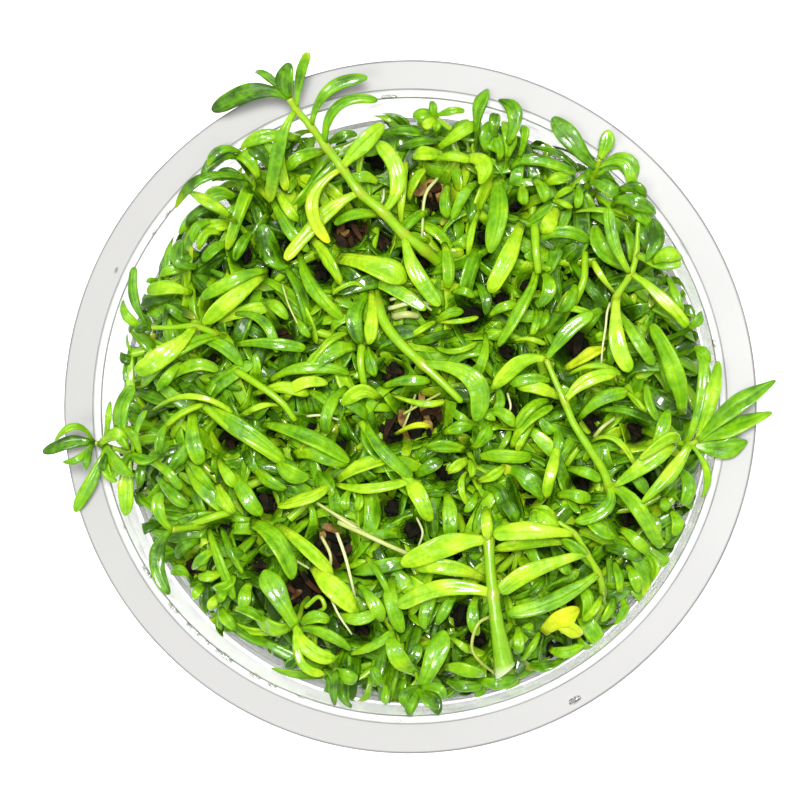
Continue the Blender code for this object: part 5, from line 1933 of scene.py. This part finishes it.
@dataclass(frozen=True)
class Litter:
    """Rotten leaves across the gaps of the growth, near black so they are partly painted shade, with brown
    leaves and crumbs in the wider ones.
    """

    name: str = "dead_matter"
    each: int = 12
    narrowest: float = 2.2
    strips: int = 6
    mat_depth: float = 6.4
    bend: tuple[Spot, ...] = ((-0.4, 0.4), (-0.4, 0.4), (0.0, 0.6))
    scrap: ClassVar[dict[str, float]] = {"rows": 8, "around": 8, "thickness": 0.25, "wave": 0.2}

    def rot_and_shade_sheets(self, x: float, y: float, radius: float, draft: Draft, rng: random.Random) -> None:
        """Adds the rotten leaves across a gap, dark as painted shade.

        Args:
            x: The gap's x as seen.
            y: The gap's y as seen.
            radius: The gap's radius.
            draft: Where they are added.
            rng: Where chance comes from.
        """
        for number in range(self.strips):
            away = [rng.uniform(-0.4, 0.4) * radius for _ in range(2)]
            spot = EYE.placed((x + away[0], y + away[1], growth_top(math.hypot(x, y)) - self.mat_depth))
            spot.z += rng.uniform(-1.2, 0.6)
            heading = number * math.pi / self.strips + rng.uniform(-0.4, 0.4)
            reach = Vector((*toward(heading), rng.uniform(-0.3, 0.3))) * radius * 1.1
            blade = Blade.varied(spot - reach, spot, spot + reach, radius * 0.7, rng, fold=0.3, **self.scrap)
            # Painted shade: the sheets take the darkest, near-black end of the rot's colours
            blade.draw(draft, rng.uniform(-0.3, 0.1), pressed=True)

    def build(self) -> None:
        """Builds the piece."""
        rng = random.Random(SEED)
        draft = Draft()
        for x, y, radius in GAPS.places:
            self.rot_and_shade_sheets(x, y, radius, draft, rng)
            for _ in range(self.each if radius >= self.narrowest else 0):
                turn, away = rng.uniform(0, 2 * math.pi), radius * 1.2 * math.sqrt(rng.random())
                seen = (x + away * math.cos(turn), y + away * math.sin(turn))
                sunk = float(GAPS.sunk(np.array(EYE.placed((*seen, GROWTH_HEIGHT)))))
                height = growth_top(math.hypot(*seen)) - min(sunk, self.mat_depth - 0.6)
                spot = EYE.placed((*seen, height + rng.uniform(0.0, 1.0)))
                reach = Vector((*toward(rng.uniform(0.0, 2 * math.pi)), rng.uniform(-0.5, 0.5)))
                reach *= rng.uniform(0.7, 2.6)
                middle = spot + Vector([rng.uniform(low, high) for low, high in self.bend])
                width = rng.uniform(0.6, 1.5)
                blade = Blade.varied(spot - reach, middle, spot + reach, width, rng, fold=0.35, **self.scrap)
                blade.draw(draft, rng.random() ** 1.8, pressed=True)
        add_piece(self.name, draft.mesh(self.name, DEAD), "low_growth")


@dataclass(frozen=True)
class Drops:
    """Water beads left in the step of the rim and on the flange, as seen: a place, a length and a width."""

    name: str = "water_drops"
    bead_rows: int = 7
    beads: tuple[tuple[float, float, float, float], ...] = (
        (-35.2, -22.5, 2.6, 0.7), (-31.8, -27.5, 2.2, 0.8), (-29, -30.3, 3, 0.8), (-24.8, -33.8, 3.4, 0.9),
        (-20.8, -36.8, 2, 0.8), (-18.5, -38.2, 1.6, 0.7), (-34.5, 23.5, 1.2, 0.4), (-32.6, 26, 1.4, 0.4),
        (-1.2, -43.2, 0.9, 0.5), (22.8, -40.3, 2.2, 1), (-39.8, 18.4, 1, 0.4), (41.6, 8.4, 1.3, 0.6),
        (-2.5, 41.8, 2.6, 0.7), (-14.6, -39.6, 1.2, 0.5), (-27.2, -32.2, 1, 0.5), (-38.6, -16.4, 1.2, 0.4),
    )

    def build(self) -> None:
        """Builds the piece: each bead is a low dome that follows the rim round."""
        draft = Draft()
        for x, y, length, width in self.beads:
            centre = EYE.placed((x, y, CUP_HEIGHT - SEAT_DEPTH))
            radius = min(max(centre.xy.length, SEAT_RADIUS + 0.2), FLANGE_RADIUS - 1.0)
            on_flange = radius > MOUTH_RADIUS
            base = CUP_HEIGHT if on_flange else CUP_HEIGHT - SEAT_DEPTH + 0.04
            turn = math.atan2(centre.y, centre.x)
            rings = []
            for row in range(self.bead_rows):
                share = -1.0 + 2.0 * (row + 0.5) / self.bead_rows
                here = turn + share * length / 2 / radius
                half = width / 2 * math.sqrt(1.0 - share**2)
                out, up = toward(here).to_3d(), Vector((0.0, 0.0, 1.0))
                spot = out * radius + up * (base + 0.02)
                ring = []
                for turned in (2 * math.pi * k / 10 for k in range(10)):
                    rise = max(math.sin(turned), -0.05) * half * 0.55
                    ring.append(spot + out * half * math.cos(turned) + up * rise)
                rings.append(ring)
            draft.add_rings(np.array(rings, float))
        add_piece(self.name, draft.mesh(self.name, WATER), "clear_plastic")


@dataclass(frozen=True)
class Turned:
    """A shape turned about the cup's axis from a section in (radius, height)."""

    name: str
    steps: int = 160
    hold: float = 0.05

    def held(self, section: list[Spot]) -> list[Spot]:
        """Adds a point near both ends of each long side, which keeps it straight to look at.

        Args:
            section: The section's points in (radius, height).

        Returns:
            The section with them.
        """
        points = [section[0]]
        for start, end in zip(section, section[1:]):
            length = math.dist(start, end)
            if length > 8 * self.hold:
                for share in (self.hold / length, 1.0 - self.hold / length):
                    points.append(tuple(a + (b - a) * share for a, b in zip(start, end)))
            points.append(end)
        return points

    def mesh(self, section: list[Spot], finish: Finish) -> bpy.types.Mesh:
        """The closed mesh of a section.

        Args:
            section: Its points in (radius, height), from the axis round to the axis.
            finish: The mesh's finish.

        Returns:
            The mesh.
        """
        bm = bmesh.new()
        turns = [2 * math.pi * k / self.steps for k in range(self.steps)]
        rings = [
            [bm.verts.new((radius * math.cos(turn) * MM, radius * math.sin(turn) * MM, height * MM))
             for turn in (turns if radius else turns[:1])]
            for radius, height in self.held(section)
        ]
        for low, high in zip(rings, rings[1:]):
            for k in range(self.steps):
                n = (k + 1) % self.steps
                corners = [low[k % len(low)], low[n % len(low)], high[n % len(high)], high[k % len(high)]]
                bm.faces.new(list(dict.fromkeys(corners)))
        bmesh.ops.recalc_face_normals(bm, faces=bm.faces)
        mesh = bpy.data.meshes.new(self.name)
        bm.to_mesh(mesh)
        bm.free()
        mesh.materials.append(finish.material)
        mesh.shade_smooth()
        mesh.set_sharp_from_angle(angle=math.radians(40))
        return mesh


@dataclass(frozen=True)
class Cup(Turned):
    """The clear cup: a shallow tapered bowl with a ledge, a seat for the lid's film and a flat flange."""

    name: str = "clear_cup"

    def section(self) -> list[Spot]:
        """The cup's section: up the inside from the axis, over the flange and down the outside."""
        ledge = CUP_HEIGHT - LEDGE_DEPTH
        floor = WALL + 0.1
        lower_top = LEDGE_RADIUS - LEDGE_WIDTH
        seat = CUP_HEIGHT - SEAT_DEPTH
        under = CUP_HEIGHT - FLANGE_THICKNESS
        inside = [
            (0.0, floor), (BASE_RADIUS - 0.8, floor), (BASE_RADIUS - 0.25, floor + 0.25),
            (BASE_RADIUS, WALL_FOOT), (lower_top, ledge - LEDGE_SLOPE), (lower_top + 0.15, ledge - 0.1),
            (LEDGE_RADIUS - 0.2, ledge + 0.1), (LEDGE_RADIUS, ledge + LEDGE_SLOPE),
            (SEAT_RADIUS - 0.08, seat - 0.2),
            (SEAT_RADIUS + 0.1, seat), (MOUTH_RADIUS - 0.3, seat + 0.05), (MOUTH_RADIUS - 0.1, seat + 0.2),
            (MOUTH_RADIUS, CUP_HEIGHT - 0.08), (MOUTH_RADIUS + 0.1, CUP_HEIGHT),
        ]
        outside = [
            (FLANGE_RADIUS - 0.3, CUP_HEIGHT), (FLANGE_RADIUS - 0.06, CUP_HEIGHT - 0.1),
            (FLANGE_RADIUS, CUP_HEIGHT - 0.3), (FLANGE_RADIUS - 0.05, under + 0.08),
            (FLANGE_RADIUS - 0.25, under), (MOUTH_RADIUS + 0.6, under), (MOUTH_RADIUS + 0.2, under - 0.2),
            (SEAT_RADIUS + WALL, under - 0.9), (LEDGE_RADIUS + WALL, ledge),
            (LEDGE_RADIUS + WALL - 0.15, ledge - 0.4), (lower_top + WALL, ledge - 0.8),
            (BASE_RADIUS + WALL, 1.0), (BASE_RADIUS + 0.5, 0.25), (BASE_RADIUS, 0.0), (0.0, 0.0),
        ]
        return inside + outside

    def build(self) -> None:
        """Builds the cup."""
        cup = add_piece(self.name, self.mesh(self.section(), PLASTIC), "clear_plastic", "cup")
        cup.visible_shadow = False


@dataclass(frozen=True)
class Gel(Turned):
    """The brown gel in the bottom of the cup, a little higher at the wall."""

    name: str = "brown_gel"

    def build(self) -> None:
        """Builds the gel."""
        clear = 0.12
        section = [
            (0.0, GEL_TOP - 0.5), (20.0, GEL_TOP - 0.45), (34.0, GEL_TOP - 0.4), (37.4, GEL_TOP - 0.25),
            (inner_radius(GEL_TOP) - clear, GEL_TOP), (inner_radius(6.0) - clear, 6.0),
            (BASE_RADIUS - clear, GEL_BOTTOM + 0.9), (BASE_RADIUS - 1.0, GEL_BOTTOM), (0.0, GEL_BOTTOM),
        ]
        add_piece(self.name, self.mesh(section, GEL), "brown_gel", "nutrient_gel")


@dataclass(frozen=True)
class Studio:
    """A plain pale floor and soft light."""

    floor_size: float = 3.0
    sky: float = 0.56
    key_power: float = 10.5
    key_size: float = 0.22
    key_height: float = 0.9

    def build(self) -> None:
        """Builds the floor, the sky and the lamps."""
        mesh = bpy.data.meshes.new("floor")
        half = self.floor_size / 2
        corners = [(x * half, y * half, 0.0) for x, y in ((-1, -1), (1, -1), (1, 1), (-1, 1))]
        mesh.from_pydata(corners, [], [(0, 1, 2, 3)])
        mesh.materials.append(FLOOR.material)
        floor = add_object("floor", mesh)
        floor.location.z = -0.0005
        world = bpy.data.worlds.new("sky")
        world.use_nodes = True
        background = world.node_tree.nodes["Background"]
        background.inputs["Color"].default_value = (1.0, 1.0, 1.0, 1.0)
        background.inputs["Strength"].default_value = self.sky
        bpy.context.scene.world = world
        self.lamp("key", (0.06, 0.09), self.key_power)
        self.lamp("fill", (-0.22, -0.20), self.key_power * 0.3)
        view = bpy.context.scene.view_settings
        view.view_transform = "Standard"
        view.look = "None"

    def lamp(self, name: str, spot: Spot, power: float) -> None:
        """Adds a square soft lamp that faces the cup.

        Args:
            name: Its name.
            spot: Its x and y in metres.
            power: Its power in watts.
        """
        data = bpy.data.lights.new(name, "AREA")
        data.energy = power
        data.size = self.key_size
        lamp = add_object(name, data)
        lamp.location = (*spot, self.key_height)
        lamp.rotation_mode = "QUATERNION"
        lamp.rotation_quaternion = (lamp.location - Vector((0.0, 0.0, 0.04))).to_track_quat("Z", "Y")
        lamp.visible_camera = False


def main() -> None:
    """Builds the whole cup of plants in its studio."""
    logging.basicConfig(level=logging.INFO, format="%(message)s")
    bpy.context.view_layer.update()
    EYE.add_camera()
    roots = Threads("roots_and_straws", ROOTS, THREAD, "leaf_bright")
    stalks = Threads("bare_stalks", STALKS, STEM, "stem_green")
    growth = (LowGrowth(), UpperGrowth(), *SHOOTS, *TOP_LEAVES, roots, stalks, Litter())
    for maker in (Studio(), Cup(), Gel(), *growth, Drops()):
        maker.build()


if __name__ == "__main__":
    main()
